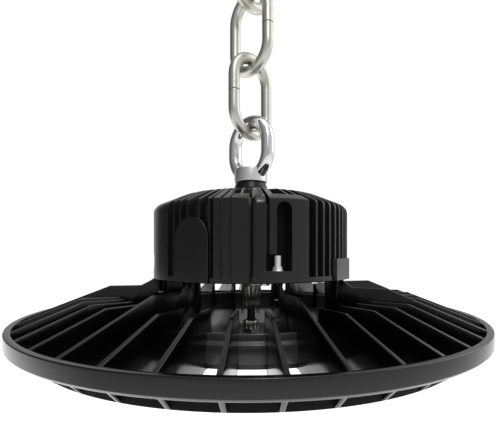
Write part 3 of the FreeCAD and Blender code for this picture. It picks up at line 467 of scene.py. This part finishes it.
def ring_of_wire(mean, straight, radius, middle, plane, loop=40, fine_at=0.0):
    """A wire round a racetrack in the vertical plane at `plane` degrees, with radius(s, whole)."""
    s, place, normal, whole = racetrack(mean, straight, fine_at)
    r = np.broadcast_to(radius(s, whole), s.shape)
    a = np.linspace(0, 2 * np.pi, loop, endpoint=False)
    w = place[:, :1] + r[:, None] * np.cos(a) * normal[:, :1]
    z = place[:, 1:] + r[:, None] * np.cos(a) * normal[:, 1:] + middle
    across = r[:, None] * np.sin(a)
    turn = math.radians(plane)
    return np.stack([w * math.cos(turn) - across * math.sin(turn),
                     w * math.sin(turn) + across * math.cos(turn), z], -1)


def chain_link(name, node, body, number, plane, weld_at):
    """One link, counted from the lowest, with its weld at a distance along the wire."""
    def radius(s, whole):
        d = (s - weld_at + whole / 2) % whole - whole / 2
        swell = WELD_SWELL * np.exp(-(d / WELD_REACH) ** 2)
        return WIRE / 2 * (1 + swell - WELD_GROOVE * np.exp(-(d / WELD_WIDTH) ** 2))

    middle = LOW_BAR + (LINK_LONG - WIRE) / 2 + number * LINK_PITCH
    mean, straight = (LINK_WIDE - WIRE) / 2, LINK_LONG - LINK_WIDE
    grid = ring_of_wire(mean, straight, radius, middle, plane, fine_at=weld_at)
    wire = piece(name, [(grid, True, False, 0)], [NICKEL, WELD_SHADE], body, [node])
    s, _, _, whole = racetrack(mean, straight, weld_at)
    between_rows = (s + np.append(s[1:], whole)) / 2
    from_weld = np.abs((between_rows - weld_at + whole / 2) % whole - whole / 2)
    # faces near the weld take the dark material: painted shade of the weld groove
    set_slots(wire, np.repeat(from_weld < WELD_SHADE_WIDE / 2, grid.shape[1]))


OTHER_LEG = (LINK_LONG - LINK_WIDE) + math.pi * (LINK_WIDE - WIRE) / 2
chain_link("lower_link_wire", "chain_lower_link", "lower_link", 0, LINK_TURN, OTHER_LEG)
chain_link("middle_link_wire", "chain_middle_link", "middle_link", 1, -LINK_TURN, 0.0)
chain_link("top_link_wire", "chain_top_link", "suspension", 2, LINK_TURN, OTHER_LEG)


# %% [markdown]
# ## Lifting eye, collar and toothed washer

# %% Lifting eye
COLLAR_TALL, EYE_TALL, EYE_WIDE, EYE_BAR = 7.2, 62.0, 54.0, 12.0
BOSS_FOOT = HUB_SEAT + COLLAR_TALL
THREAD_R, BOSS_R, BOSS_TOP = 6.1, 15, BOSS_FOOT + 12.3
CORE_FOOT, CORE_TOP = BOSS_FOOT + 9, BOSS_FOOT + 12.2     # closes the thread from above

eye_ring = ring_of_wire((EYE_WIDE - EYE_BAR) / 2, EYE_TALL - EYE_WIDE,
                        lambda s, whole: EYE_BAR / 2, BOSS_FOOT + EYE_TALL / 2, -LINK_TURN,
                        loop=56)
boss = lathe(rounded([(THREAD_R, BOSS_FOOT), (BOSS_R, BOSS_FOOT), (BOSS_R, BOSS_TOP),
                      (THREAD_R, BOSS_TOP)], 0.7, 6), 96)
core = lathe([(AXIS, CORE_FOOT), (THREAD_R, CORE_FOOT), (THREAD_R, CORE_TOP),
              (AXIS, CORE_TOP)], 24)
piece("polished_eye", [(eye_ring, True, False, 0), (boss, True, False, 1), (core, True, False, 1)],
      [CHROME, SATIN], "lamp", ["lifting_eye"])

# %% Collar and washer
COLLAR_FOOT_R, COLLAR_HEAD_R, COLLAR_TOP = 16, 13.6, HUB_SEAT + COLLAR_TALL - 0.1
collar = lathe(rounded([(THREAD_R, HUB_SEAT), (COLLAR_FOOT_R, HUB_SEAT),
                        (COLLAR_HEAD_R, COLLAR_TOP), (THREAD_R, COLLAR_TOP)], 0.6, 5), 96)
piece("tapered_collar", [(collar, True, False, 0)], [COLLAR], "lamp", ["top_collar"])


WASHER_R, WASHER_TALL = 15, 1
TOOTH_REACH, TOOTH_HALF, TOOTH_STEEP = 2.2, 4.4, 6     # in mm, degrees and per degree


def toothed_washer(teeth=12, first=11.0, edge=0.2):
    """A flat ring whose outer edge steps out and in again at each tooth."""
    a = np.linspace(0, 360, teeth * 12, endpoint=False)
    from_tooth = np.abs((a - first + 180 / teeth) % (360 / teeth) - 180 / teeth)
    outer = WASHER_R + TOOTH_REACH / (1 + np.exp((from_tooth - TOOTH_HALF) * TOOTH_STEEP))
    inner = np.full_like(outer, THREAD_R)
    low, high = HUB_SEAT - WASHER_TALL, HUB_SEAT - 0.02
    a = np.radians(a)
    loops = [(inner, low), (outer - edge, low), (outer, low + edge),
             (outer, high - edge), (outer - edge, high), (inner, high)]
    return np.stack([np.stack([r * np.sin(a), -r * np.cos(a), np.full_like(a, z)], -1)
                     for r, z in loops], 1)


piece("star_washer", [(toothed_washer(), True, False, 0)], [STUD_ZINC], "lamp", ["lock_washer"])


# %% [markdown]
# ## Heat sink
#
# One casting. Its fins are plates with a draft: from the rim's foot $z_0$ up to the seat $z_1$
# their half thickness falls with height,
#
# $$h(z) = h_0 - (h_0 - h_1)\,\frac{z - z_0}{z_1 - z_0},$$
#
# and below the rim's foot it falls again. Every edge is rounded, since the fins were drawn out
# of a die.

# %% Rings of the heat sink
RIM, RIM_WALL, RIM_FOOT = 190.0, 4.5, -11
BORE = RIM - RIM_WALL
RING_IN, RING_OUT, RING_FOOT, RING_TOP = 168, 172, -22.5, -12.5
PAN_R, PAN_NECK, PAN_FOOT, PAN_LIP = 123.5, 121.5, -15, 3.5
FLOOR_R, PAN_FLOOR = 117, -12
rim = rounded([(BORE, RIM_FOOT), (RIM - 2, RIM_FOOT), (RIM, RIM_FOOT + 2), (RIM, 0), (BORE, 0)],
              0.55, 4)
ring = rounded([(RING_IN, RING_FOOT), (RING_OUT, RING_FOOT), (RING_OUT, RING_TOP),
                (RING_IN, RING_TOP)], 0.9, 4)
pan = rounded([(AXIS, PAN_FOOT), (PAN_R, PAN_FOOT), (PAN_R, -3), (PAN_NECK, -1),
               (PAN_NECK, PAN_LIP), (FLOOR_R + 1, PAN_LIP), (FLOOR_R, PAN_FLOOR),
               (AXIS, PAN_FLOOR)], 0.6, 4)
print("rim", RIM, "lower ring", RING_OUT, "pan", PAN_R, "mm in radius")

# %% Fins of the heat sink
FIN_ROOT, FIN_TIP, FIN_FOOT = 3.5, 1.5, 2.8     # thickness at the rim's foot, seat and bottom
PATH_STEP = 2.0


def half_thickness(z):
    """Half the thickness of a fin at a height: widest at the rim, thinner above and below."""
    return np.interp(z, [RING_FOOT, RIM_FOOT + 2, SEAT], [FIN_FOOT / 2, FIN_ROOT / 2, FIN_TIP / 2])


def edge_normals(path):
    """Normals to the left of a path, eased at its corners."""
    step = np.gradient(path, axis=0)
    step /= np.linalg.norm(step, axis=1)[:, None]
    return np.stack([-step[:, 1], step[:, 0]], -1)


def plate_fin(upper, lower, stations=46, edge=0.62, arc=4):
    """A plate between an upper and a lower edge, both drawn from the inner end outwards."""
    def spaced(corners):
        """The same number of stations along any edge, with its corners kept."""
        path = along(corners, PATH_STEP)
        run = np.concatenate([[0], np.cumsum(np.linalg.norm(np.diff(path, axis=0), axis=1))])
        at = np.linspace(0, run[-1], stations)
        keep = np.concatenate([[0], np.cumsum(np.linalg.norm(np.diff(corners, axis=0), axis=1))])
        for corner in keep[1:-1]:
            at[np.argmin(np.abs(at - corner))] = corner
        return np.stack([np.interp(at, run, path[:, k]) for k in (0, 1)], -1)

    top, foot = spaced(upper), spaced(lower)
    out_top, out_foot = edge_normals(top), -edge_normals(foot)
    loop = []
    for path, out, sides in ((top, out_top, (-1, 1)), (foot, out_foot, (1, -1))):
        h = half_thickness(path[:, 1])
        r = np.minimum(edge, 0.9 * h)
        for side in sides:
            turn = np.linspace(0, np.pi / 2, arc)
            turn = turn if side == sides[1] else turn[::-1]
            for a in turn:
                across = side * (h - r + r * math.sin(a))
                point = path - out * (r * (1 - math.cos(a)))[:, None]
                loop.append(np.stack([across, -point[:, 0], point[:, 1]], -1))
    return np.stack(loop, 1)


PLAIN_START, TALL_START = (113.5, -13.5), (74.5, -13.5)     # sunk into the pan's floor
PLAIN_HIGH, SHELF_HIGH = 17, 24.7
INTO_RIM = [(BORE, 0), (BORE + 1.5, -0.6)]
LOWER_EDGE = [(123.8, PAN_FOOT), (123.8, -17.0), (135.5, RING_FOOT), (170, RING_FOOT),
              (172.8, -21.7), (181.5, -13), (187, -9)]
PLAIN_TOP = [PLAIN_START, (PLAIN_START[0], PLAIN_HIGH), (141.7, PLAIN_HIGH), *INTO_RIM]
TALL_TOP = [TALL_START, (TALL_START[0], SEAT), (DRUM_R, SEAT), (95, SHELF_HIGH),
            (121.8, SHELF_HIGH), *INTO_RIM]
FINS, TALL_EVERY, STUD_RING = 40, 5, 80.5

plain_fin = plate_fin(PLAIN_TOP, [PLAIN_START] + LOWER_EDGE)
tall_fin = plate_fin(TALL_TOP, [TALL_START] + LOWER_EDGE, stations=64)
post = lathe([(AXIS, 12.5), (FIN_ROOT / 2, 13.4), (3.2, 26), (3.8, SEAT - 0.1),
              (AXIS, SEAT - 0.05)], 20, (0, -STUD_RING))
GLOSS_SLOT, SHADE_SLOT, PAN_SLOT = 0, 1, 2
# the lower ring takes the dull black material: painted shade
grids = [(lathe(outline, 288), True, False, slot)
         for slot, outline in ((GLOSS_SLOT, rim), (SHADE_SLOT, ring), (PAN_SLOT, pan))]
for k in range(FINS):
    tall, angle = k % TALL_EVERY == 1, (k + 0.5) * 360 / FINS
    grids.append((spun(tall_fin if tall else plain_fin, angle), False, True, GLOSS_SLOT))
    if tall:
        grids.append((spun(post, angle), True, False, GLOSS_SLOT))
sink = piece("finned_heat_sink", grids, [CASTING, SHADE, PAN_SHEEN], "lamp", ["heat_sink"])


def pan_floor(mesh):
    """Which faces are the floor of the pan: they lie at its height and look up."""
    middle, facing = np.empty(len(mesh.polygons) * 3), np.empty(len(mesh.polygons) * 3)
    mesh.polygons.foreach_get("center", middle)
    mesh.polygons.foreach_get("normal", facing)
    x, y, z = (middle.reshape(-1, 3) / MM).T
    z = z + DROP
    r, up = np.hypot(x, y), facing.reshape(-1, 3)[:, 2]
    return (r < FLOOR_R + 0.6) & (z > PAN_FLOOR - 0.1) & (z < PAN_FLOOR + 0.5) & (up > 0.5)


# the pan's floor takes the dull black material: painted shade
slots = np.array([face.material_index for face in sink.data.polygons])
slots[pan_floor(sink.data)] = SHADE_SLOT
set_slots(sink, slots)


# %% [markdown]
# ## Drum of the driver
#
# A die casting with thick and thin ribs round a closed wall. It could be cut out of a turned
# blank, but one grid is simpler and has no seams: the outer profile $p(s)$ is carried round the
# axis, and each column of the grid is pushed in by its own depth, square to the profile,
#
# $$P(\varphi, s) = p(s) - d(\varphi, s)\,n(s)$$
#
# Two columns at one angle with different depths make the side of a rib.

# %% Profile of the drum
BAND, SHOULDER = 4.0, 90.7
KNEE, HUB, HUB_FLAT = (60.0, 102.1), (34.0, 105.7), (18.0, 108.4)
GROOVE, DEEP, LINE = 7.0, 10.7, 1.3           # depths below the skin
NUT_FLOOR, NUT_ROOF = 39.2, 51.0
SLOT_HALF, SLOT_SPRING = 5.8, 82.6            # the arched slot over the nut
DOME_SLOPE = math.atan2(KNEE[1] - SHOULDER, DRUM_R - KNEE[0])
INNER = 76.0              # the wide ribs end here on the dome
# The inside, from the stud's hole out to the foot.
CAVITY = [(6.4, 108.4), (6.4, 92), (34, 92), (56, 88), (74.5, 77), (74.5, 38), (76.3, 38),
          (76.3, SEAT)]
print("drum", SEAT, "to", HUB_FLAT[1], "mm high")


def drum_rows(arch_top, shoulder_round):
    """Rows of one column from the foot to the hub: radius, height, normal and section number."""
    t = shoulder_round * math.tan((math.pi / 2 - DOME_SLOPE) / 2)
    side = [(SEAT, 0), (SEAT + 0.5, 0), (SEAT + BAND, 0), (SEAT + BAND, 1), (NUT_FLOOR, 1),
            (NUT_FLOOR, 2), (NUT_ROOF, 2), (NUT_ROOF, 3), (0.5 * (NUT_ROOF + arch_top), 3),
            (arch_top, 3), (arch_top, 4)]
    rows = [(DRUM_R - (0.5 if z == SEAT else 0), z, 1.0, 0.0, part) for z, part in side]
    for f in np.linspace(0, 1, 7):
        a = f * (math.pi / 2 - DOME_SLOPE)
        rows.append((DRUM_R - shoulder_round * (1 - math.cos(a)),
                     SHOULDER - t + shoulder_round * math.sin(a), math.cos(a), math.sin(a), 4))
    n = math.sin(DOME_SLOPE), math.cos(DOME_SLOPE)
    dome = SHOULDER + (DRUM_R - INNER) * math.tan(DOME_SLOPE)
    cap_slope = math.atan2(HUB[1] - KNEE[1], KNEE[0] - HUB[0])
    m = math.sin(cap_slope), math.cos(cap_slope)
    rows += [(INNER, dome, *n, 4), (INNER, dome, *n, 5), (KNEE[0] + 2, KNEE[1] - 0.9, *n, 5),
             (KNEE[0] - 2, KNEE[1] + 0.25, *m, 5), (HUB[0], HUB[1], 0, 1, 5),
             (HUB[0], HUB[1], 0, 1, 6), (HUB_FLAT[0], HUB_FLAT[1], 0, 1, 6)]
    rows += [(r, z, 0, 1, 6) for r, z in CAVITY]
    return np.array(rows)


# %% Ribs of the drum
# Depth of each kind of strip in the sections foot, low, nut, slot, wall, dome and hub.
STRIPS = {
    "rib": (0, 0, 0, 0, 0, 0, 0), "wide": (0, 0, 0, 0, 0, GROOVE, 0),
    "round rib": (0, 0, 0, 0, 0, 0, 0),
    "groove": (0, GROOVE, GROOVE, GROOVE, GROOVE, GROOVE, 0),
    "groove over nut": (0, 0, DEEP, GROOVE, GROOVE, GROOVE, 0),
    "open groove": (GROOVE, GROOVE, GROOVE, GROOVE, GROOVE, GROOVE, 0),
    "line": (0, LINE, LINE, LINE, LINE, GROOVE, 0),
    "wall over nut": (0, 0, DEEP, 0, 0, 0, 0), "slot": (0, 0, DEEP, DEEP, 0, GROOVE, 0),
}
THIN_TIP, THIN_ROOT = 0.95, 1.35              # half the thickness of a thin rib
SHARP, ROUND, FLOOR_ROUND = 1.4, 7.0, 8.2     # shoulder at the front, elsewhere, and in grooves
ROUNDER_FROM, ROUNDER_OVER = 28, 25           # bearing where it starts to grow, and over how much
EDGE_FALL, FALL_SHARE = 3.0, 0.4              # how far a round rib's first edge falls away
HALF_RIB, RIB_PITCH = 0.7, 5.6                # degrees, for thin ribs on the dome


def block(start, end, ribs):
    """A wide block that shows thin ribs where the dome cuts it: (kind, from, to) strips."""
    edges, out = [start], []
    for middle in ribs:
        out += [("wide", edges[-1], middle - HALF_RIB),
                ("rib", middle - HALF_RIB, middle + HALF_RIB)]
        edges.append(middle + HALF_RIB)
    return out + [("wide", edges[-1], end)]


def quarter(turn, thin, last_block):
    """Strips of one quarter, from the middle ribs round to its last thin rib."""
    strips = [("rib", -18.3, -14.8), ("line", -14.8, -13.4), ("rib", -13.4, -10.1),
              ("line", -10.1, -9.5), *block(-9.5, -1.3, [-5.4]), ("open groove", -1.3, -0.1),
              ("round rib", -0.1, 6.6), ("groove over nut", 6.6, 8.3),
              ("wall over nut", 8.3, 11.75), ("slot", 11.75, 19.45),
              *block(19.45, last_block, np.arange(20.6, last_block, RIB_PITCH))]
    at = last_block
    for middle in thin:
        strips += [("groove", at, middle), ("thin", middle, middle)]
        at = middle
    strips.append(("groove", at, 90 - 18.3))
    return [(kind, a + turn, b + turn) for kind, a, b in strips]


FRONT_THIN = [33.7, 38.8, 43.9, 49.0, 54.1, 59.2, 64.3]
LEFT_THIN = [47.6, 52.3, 57.3, 64.2, 69.6]
FRONT_BLOCK, LEFT_BLOCK = 28.8, 42.4
STRIP_LIST = [strip for turn in (0, 90, 180) for strip in quarter(turn, FRONT_THIN, FRONT_BLOCK)]
STRIP_LIST += quarter(270, LEFT_THIN, LEFT_BLOCK)
print("strips round the drum:", len(STRIP_LIST))


def strip_columns(kind, start, end, after_thin, before_thin):
    """Columns of one strip: angle, sideways shift at tip and root, depth per section, rounding."""
    sideways = abs((start + 180) % 360 - 180)
    rounding = SHARP + (ROUND - SHARP) * min(1, max(0, sideways - ROUNDER_FROM) / ROUNDER_OVER)
    if kind == "thin":
        return [(start, side * THIN_TIP, side * THIN_ROOT, STRIPS["rib"], SLOT_SPRING, rounding)
                for side in (-1, 1)]
    depth = STRIPS[kind]
    rounding = FLOOR_ROUND if "groove" in kind else ROUND if kind == "round rib" else rounding
    steps = 12 if kind in ("slot", "round rib") else max(1, math.ceil((end - start) / 3))
    out = []
    for f in np.linspace(0, 1, steps + 1):
        a, arch = start + f * (end - start), SLOT_SPRING
        if kind == "slot":
            f = 0.5 - 0.5 * math.cos(math.pi * f)
            a = start + f * (end - start)
            arch += SLOT_HALF * math.sqrt(max(0, 1 - (2 * f - 1) ** 2))
        if kind == "round rib":
            fall = EDGE_FALL * (1 - math.sqrt(1 - max(0, 1 - f / FALL_SHARE) ** 2))
            depth = (0, fall, fall, fall, fall, fall, 0)
        root = THIN_ROOT if after_thin and f == 0 else -THIN_ROOT if before_thin and f == 1 else 0
        out.append((a, root, root, depth, arch, rounding))
    return out


def drum_surface():
    """The grid of the whole drum and the depth of each point below the outer skin."""
    columns, depths = [], []
    for k, (kind, a, b) in enumerate(STRIP_LIST):
        before, after = STRIP_LIST[k - 1][0], STRIP_LIST[(k + 1) % len(STRIP_LIST)][0]
        for angle, tip, root, depth, arch, rounding in strip_columns(
                kind, a, b, before == "thin", after == "thin"):
            rows = drum_rows(arch, rounding)
            r, z, nr, nz, part = rows.T
            d = np.array(depth)[part.astype(int)]
            r, z = r - d * nr, z - d * nz
            on_dome = np.clip((r - HUB[0]) / 12, 0, 1)
            shift = np.where(d > 0, root, tip) * on_dome
            t = math.radians(angle)
            columns.append(np.stack([r * math.sin(t) + shift * math.cos(t),
                                     -r * math.cos(t) + shift * math.sin(t), z], -1))
            depths.append(d)
    return np.array(columns), np.array(depths)


def pad(angle, width, top, arched, face=87.4, back=75.2, base=SEAT, edge=0.5):
    """A flat pad: its outline, carried from inside the wall out to its face, edges rounded."""
    half = width / 2
    spring = top - half if arched else top
    head = np.linspace(0, np.pi, 25) if arched else np.array([0.06, np.pi - 0.06])
    outline = [(half, base)]
    outline += [(half * math.cos(a), spring + (half * math.sin(a) if arched else 0)) for a in head]
    outline += [(-half, base)]
    outline = np.array(outline)
    middle = outline.mean(0)
    rows = []
    for inset, reach in ((0, back), (0, face - edge), (0.3 * edge, face - 0.3 * edge),
                         (edge, face), (edge + 0.4, face)):
        way = outline - middle
        shrunk = middle + way * (1 - inset / np.maximum(np.abs(way).max(1), 1e-6))[:, None]
        rows.append(np.stack([shrunk[:, 0], np.full(len(shrunk), -reach), shrunk[:, 1]], -1))
    return spun(np.array(rows), angle)


# %% Make the drum
SAME_POINT, DRUM_SHARP_ANGLE = 0.002, 30


def tidy_mesh(obj):
    """Merges the points that two strips share and drops the faces that vanish with them."""
    bm = bmesh.new()
    bm.from_mesh(obj.data)
    bmesh.ops.remove_doubles(bm, verts=bm.verts, dist=SAME_POINT * MM)
    bmesh.ops.dissolve_degenerate(bm, edges=bm.edges, dist=SAME_POINT * MM)
    bm.to_mesh(obj.data)
    bm.free()


surface, depth = drum_surface()
pads = [pad(-30.1, 29.8, 78.3, True), pad(148.5, 33, 78.5, True), pad(58.5, 33, 47.9, False),
        pad(238.5, 33, 47.9, False), pad(180, 24, 69, False, base=45)]
drum = piece("ribbed_drum", [(surface, True, False, 0)] + [(p, False, True, 0) for p in pads],
             [DRUM, RECESS, SHADE], "lamp", ["driver_housing"])
mean = (depth + np.roll(depth, -1, 0) + np.roll(depth, -1, 1)
        + np.roll(np.roll(depth, -1, 0), -1, 1)) / 4
slots = np.zeros(len(drum.data.polygons), int)
# faces deeper than a groove take the dull black material, painted shade; groove faces take the
# matt recess
slots[:mean.size] = np.where(mean > GROOVE + 0.5, 2, mean > 1.0).ravel()
set_slots(drum, slots)
tidy_mesh(drum)
drum.data.set_sharp_from_angle(angle=math.radians(DRUM_SHARP_ANGLE))
print("drum:", surface.shape[0], "columns of", surface.shape[1], "points")


# %% [markdown]
# ## Cable glands
#
# Each gland is a nickelled brass nut with a fluted dome that closes on the cable. The dome is
# turned, and its radius is drawn in at every flute,
#
# $$r(\varphi, z) = R(z) - c(z)\,\max(0, \cos n\varphi)^2$$

# %% Glands
FLUTES, BORE_R = 12, 3.25


def fluted(outline, flutes=FLUTES, steps=144, centre=CABLE):
    """Turns an outline of (radius, height, depth of flute) about a vertical axis."""
    r, z, cut = np.asarray(outline, float).T
    a = np.linspace(0, 2 * np.pi, steps, endpoint=False)[:, None]
    r = r - cut * np.maximum(0, np.cos(flutes * a)) ** 2
    return np.stack([centre[0] + r * np.sin(a), centre[1] - r * np.cos(a),
                     np.broadcast_to(z, r.shape)], -1)


def hexagon(corner, low, high, centre=CABLE, edge=0.5):
    """A hexagonal collar with its upper and lower edges broken."""
    a = np.radians(np.arange(6) * 60 + 30)
    rows = [(corner - edge, low), (corner, low + edge), (corner, high - edge),
            (corner - edge, high)]
    return np.array([np.stack([centre[0] + r * np.cos(a), centre[1] + r * np.sin(a),
                               np.full(6, z)], -1) for r, z in rows])


upper = [(BORE_R, 26.1, 0), (8.0, 26.1, 0), (8.0, 25.6, 0.5), (7.9, 20, 0.9), (7.6, 15.5, 0.9),
         (6.8, 11.8, 0.8), (5.6, 9.3, 0.5), (4.8, 8.3, 0.1), (BORE_R, 8.1, 0)]
lower = [(BORE_R, -7.7, 0), (6.8, -7.7, 0), (6.9, -7.2, 0.5), (6.9, -3.6, 0.7), (6.3, -1.4, 0.5),
         (5.2, -0.7, 0.1), (BORE_R, -0.6, 0)]
piece("upper_gland_dome", [(fluted(upper[::-1]), True, False, 0),
                           (hexagon(8.4, 26.2, SEAT), False, True, 0)],
      [BRASS], "lamp", ["upper_gland_body", "upper_gland_nut"])
piece("lower_gland_dome", [(fluted(lower), True, False, 0),
                           (hexagon(7.2, PAN_FLOOR, -7.8), False, True, 0)],
      [BRASS], "lamp", ["lower_gland_body", "lower_gland_nut"])


# %% [markdown]
# ## Studio
#
# To the eye all is white behind the lamp. What the gloss black mirrors is dimmer and changes with
# the bearing, so that faces that look different ways keep apart, and four soft lights draw the
# long highlights.

# %% Studio
def by_bearing(tree, where, stops):
    """A grey level that depends on the bearing from the front: stops are (degrees, level)."""
    n, link = tree.nodes.new, tree.links.new
    parts, front, bearing = n("ShaderNodeSeparateXYZ"), n("ShaderNodeMath"), n("ShaderNodeMath")
    link(where, parts.inputs[0])
    front.operation = "MULTIPLY"
    front.inputs[1].default_value = -1
    link(parts.outputs["Y"], front.inputs[0])
    bearing.operation = "ARCTAN2"
    link(parts.outputs["X"], bearing.inputs[0])
    link(front.outputs[0], bearing.inputs[1])
    turns, ramp = n("ShaderNodeMapRange"), n("ShaderNodeValToRGB")
    turns.inputs["From Min"].default_value = -math.pi
    turns.inputs["From Max"].default_value = math.pi
    link(bearing.outputs[0], turns.inputs["Value"])
    while len(ramp.color_ramp.elements) < len(stops):
        ramp.color_ramp.elements.new(0.5)
    for element, (degrees, level) in zip(ramp.color_ramp.elements, stops):
        element.position = (degrees + 180) / 360
        element.color = (level, level, level, 1)
    link(turns.outputs["Result"], ramp.inputs["Fac"])
    return ramp.outputs["Color"]


SKY_LEVELS = [(-180, 0.5), (-155, 0.6), (-128, 0.1), (-90, 0.12), (-50, 0.34), (-20, 0.46),
              (10, 0.44), (40, 0.66), (60, 0.7), (90, 0.95), (130, 0.7), (155, 0.4), (180, 0.5)]
FLOOR_LEVELS = [(-180, 0.8), (-134, 1.0), (-103, 0.9), (-63, 0.3), (-30, 0.42), (0, 0.45),
                (60, 0.5), (97, 0.5), (128, 0.75), (180, 0.8)]
SEEN_SKY, SEEN_FLOOR = 1.02, 0.8


def sky():
    """White behind the lamp; what it mirrors goes from dim on the left to bright on the right."""
    world = bpy.data.worlds.new("studio")
    bpy.context.scene.world = world
    world.use_nodes = True
    tree = world.node_tree
    n, link = tree.nodes.new, tree.links.new
    seen = tree.nodes["Background"]
    seen.inputs["Color"].default_value = (1, 1, 1, 1)
    seen.inputs["Strength"].default_value = SEEN_SKY
    way, mirrored = n("ShaderNodeTexCoord"), n("ShaderNodeBackground")
    mix, ray = n("ShaderNodeMixShader"), n("ShaderNodeLightPath")
    link(by_bearing(tree, way.outputs["Generated"], SKY_LEVELS), mirrored.inputs["Color"])
    link(ray.outputs["Is Camera Ray"], mix.inputs["Fac"])
    link(mirrored.outputs[0], mix.inputs[1])
    link(seen.outputs[0], mix.inputs[2])
    link(mix.outputs[0], tree.nodes["World Output"].inputs["Surface"])


def floor():
    """A pale floor far below the lamp, white to the eye and uneven in what the lamp mirrors."""
    half, level = 6.0, -0.95
    mesh = bpy.data.meshes.new("floor")
    mesh.from_pydata([(-half, -half, level), (half, -half, level), (half, half, level),
                      (-half, half, level)], [], [(0, 1, 2, 3)])
    obj = bpy.data.objects.new("floor", mesh)
    bpy.context.collection.objects.link(obj)
    mat = plain("pale floor", (0.9, 0.9, 0.9), 0.9)
    tree, bsdf = mat.node_tree, mat.node_tree.nodes["Principled BSDF"]
    way, ray = tree.nodes.new("ShaderNodeTexCoord"), tree.nodes.new("ShaderNodeLightPath")
    mirrored, seen, glow = colour_mix(tree, ray.outputs["Is Camera Ray"])
    tree.links.new(by_bearing(tree, way.outputs["Object"], FLOOR_LEVELS), mirrored)
    seen.default_value = (SEEN_FLOOR, SEEN_FLOOR, SEEN_FLOOR, 1)
    tree.links.new(glow, bsdf.inputs["Emission Color"])
    bsdf.inputs["Emission Strength"].default_value = 1.0
    obj.data.materials.append(mat)


LAMP_MIDDLE = -0.25       # the lights face this height


def soft_box(name, bearing, elevation, distance, size, radiance):
    """A soft light at a bearing from the front, facing the middle of the lamp."""
    a, e = math.radians(bearing), math.radians(elevation)
    middle = np.array((0, 0, LAMP_MIDDLE))
    way = np.array((math.sin(a) * math.cos(e), -math.cos(a) * math.cos(e), math.sin(e)))
    data = bpy.data.lights.new(name, "AREA")
    data.shape = "RECTANGLE"
    data.size, data.size_y = size
    data.energy = radiance * math.pi * size[0] * size[1]
    light = bpy.data.objects.new(name, data)
    bpy.context.collection.objects.link(light)
    light.location = middle + way * distance
    light.rotation_euler = (math.pi / 2 - e, 0, a)


def camera():
    """A wide view from close by, at a height between the rim and the drum's shoulder."""
    data = bpy.data.cameras.new("camera")
    data.lens = 26.8
    data.sensor_width = 36
    data.shift_x, data.shift_y = -0.0126, 0.080
    obj = bpy.data.objects.new("camera", data)
    bpy.context.collection.objects.link(obj)
    azimuth, yaw, reach, eye = math.radians(-0.35), math.radians(0.85), 344.2, 51.7
    obj.location = (reach * math.sin(azimuth) * MM, -reach * math.cos(azimuth) * MM,
                    (eye - DROP) * MM)
    obj.rotation_euler = (math.pi / 2, 0, azimuth - yaw)
    bpy.context.scene.camera = obj


sky()
floor()
soft_box("front light", 2, 32, 1.5, (0.35, 0.75), 1.1)
soft_box("key light", 8, 46, 1.6, (0.3, 0.7), 8.0)
soft_box("top light", 10, 78, 1.6, (1.2, 1.0), 1.2)
soft_box("right light", 105, 30, 1.7, (1.3, 1.3), 1.0)
camera()
bpy.context.scene.view_settings.view_transform = "Standard"
print("studio: sky, floor, four soft lights and the camera")
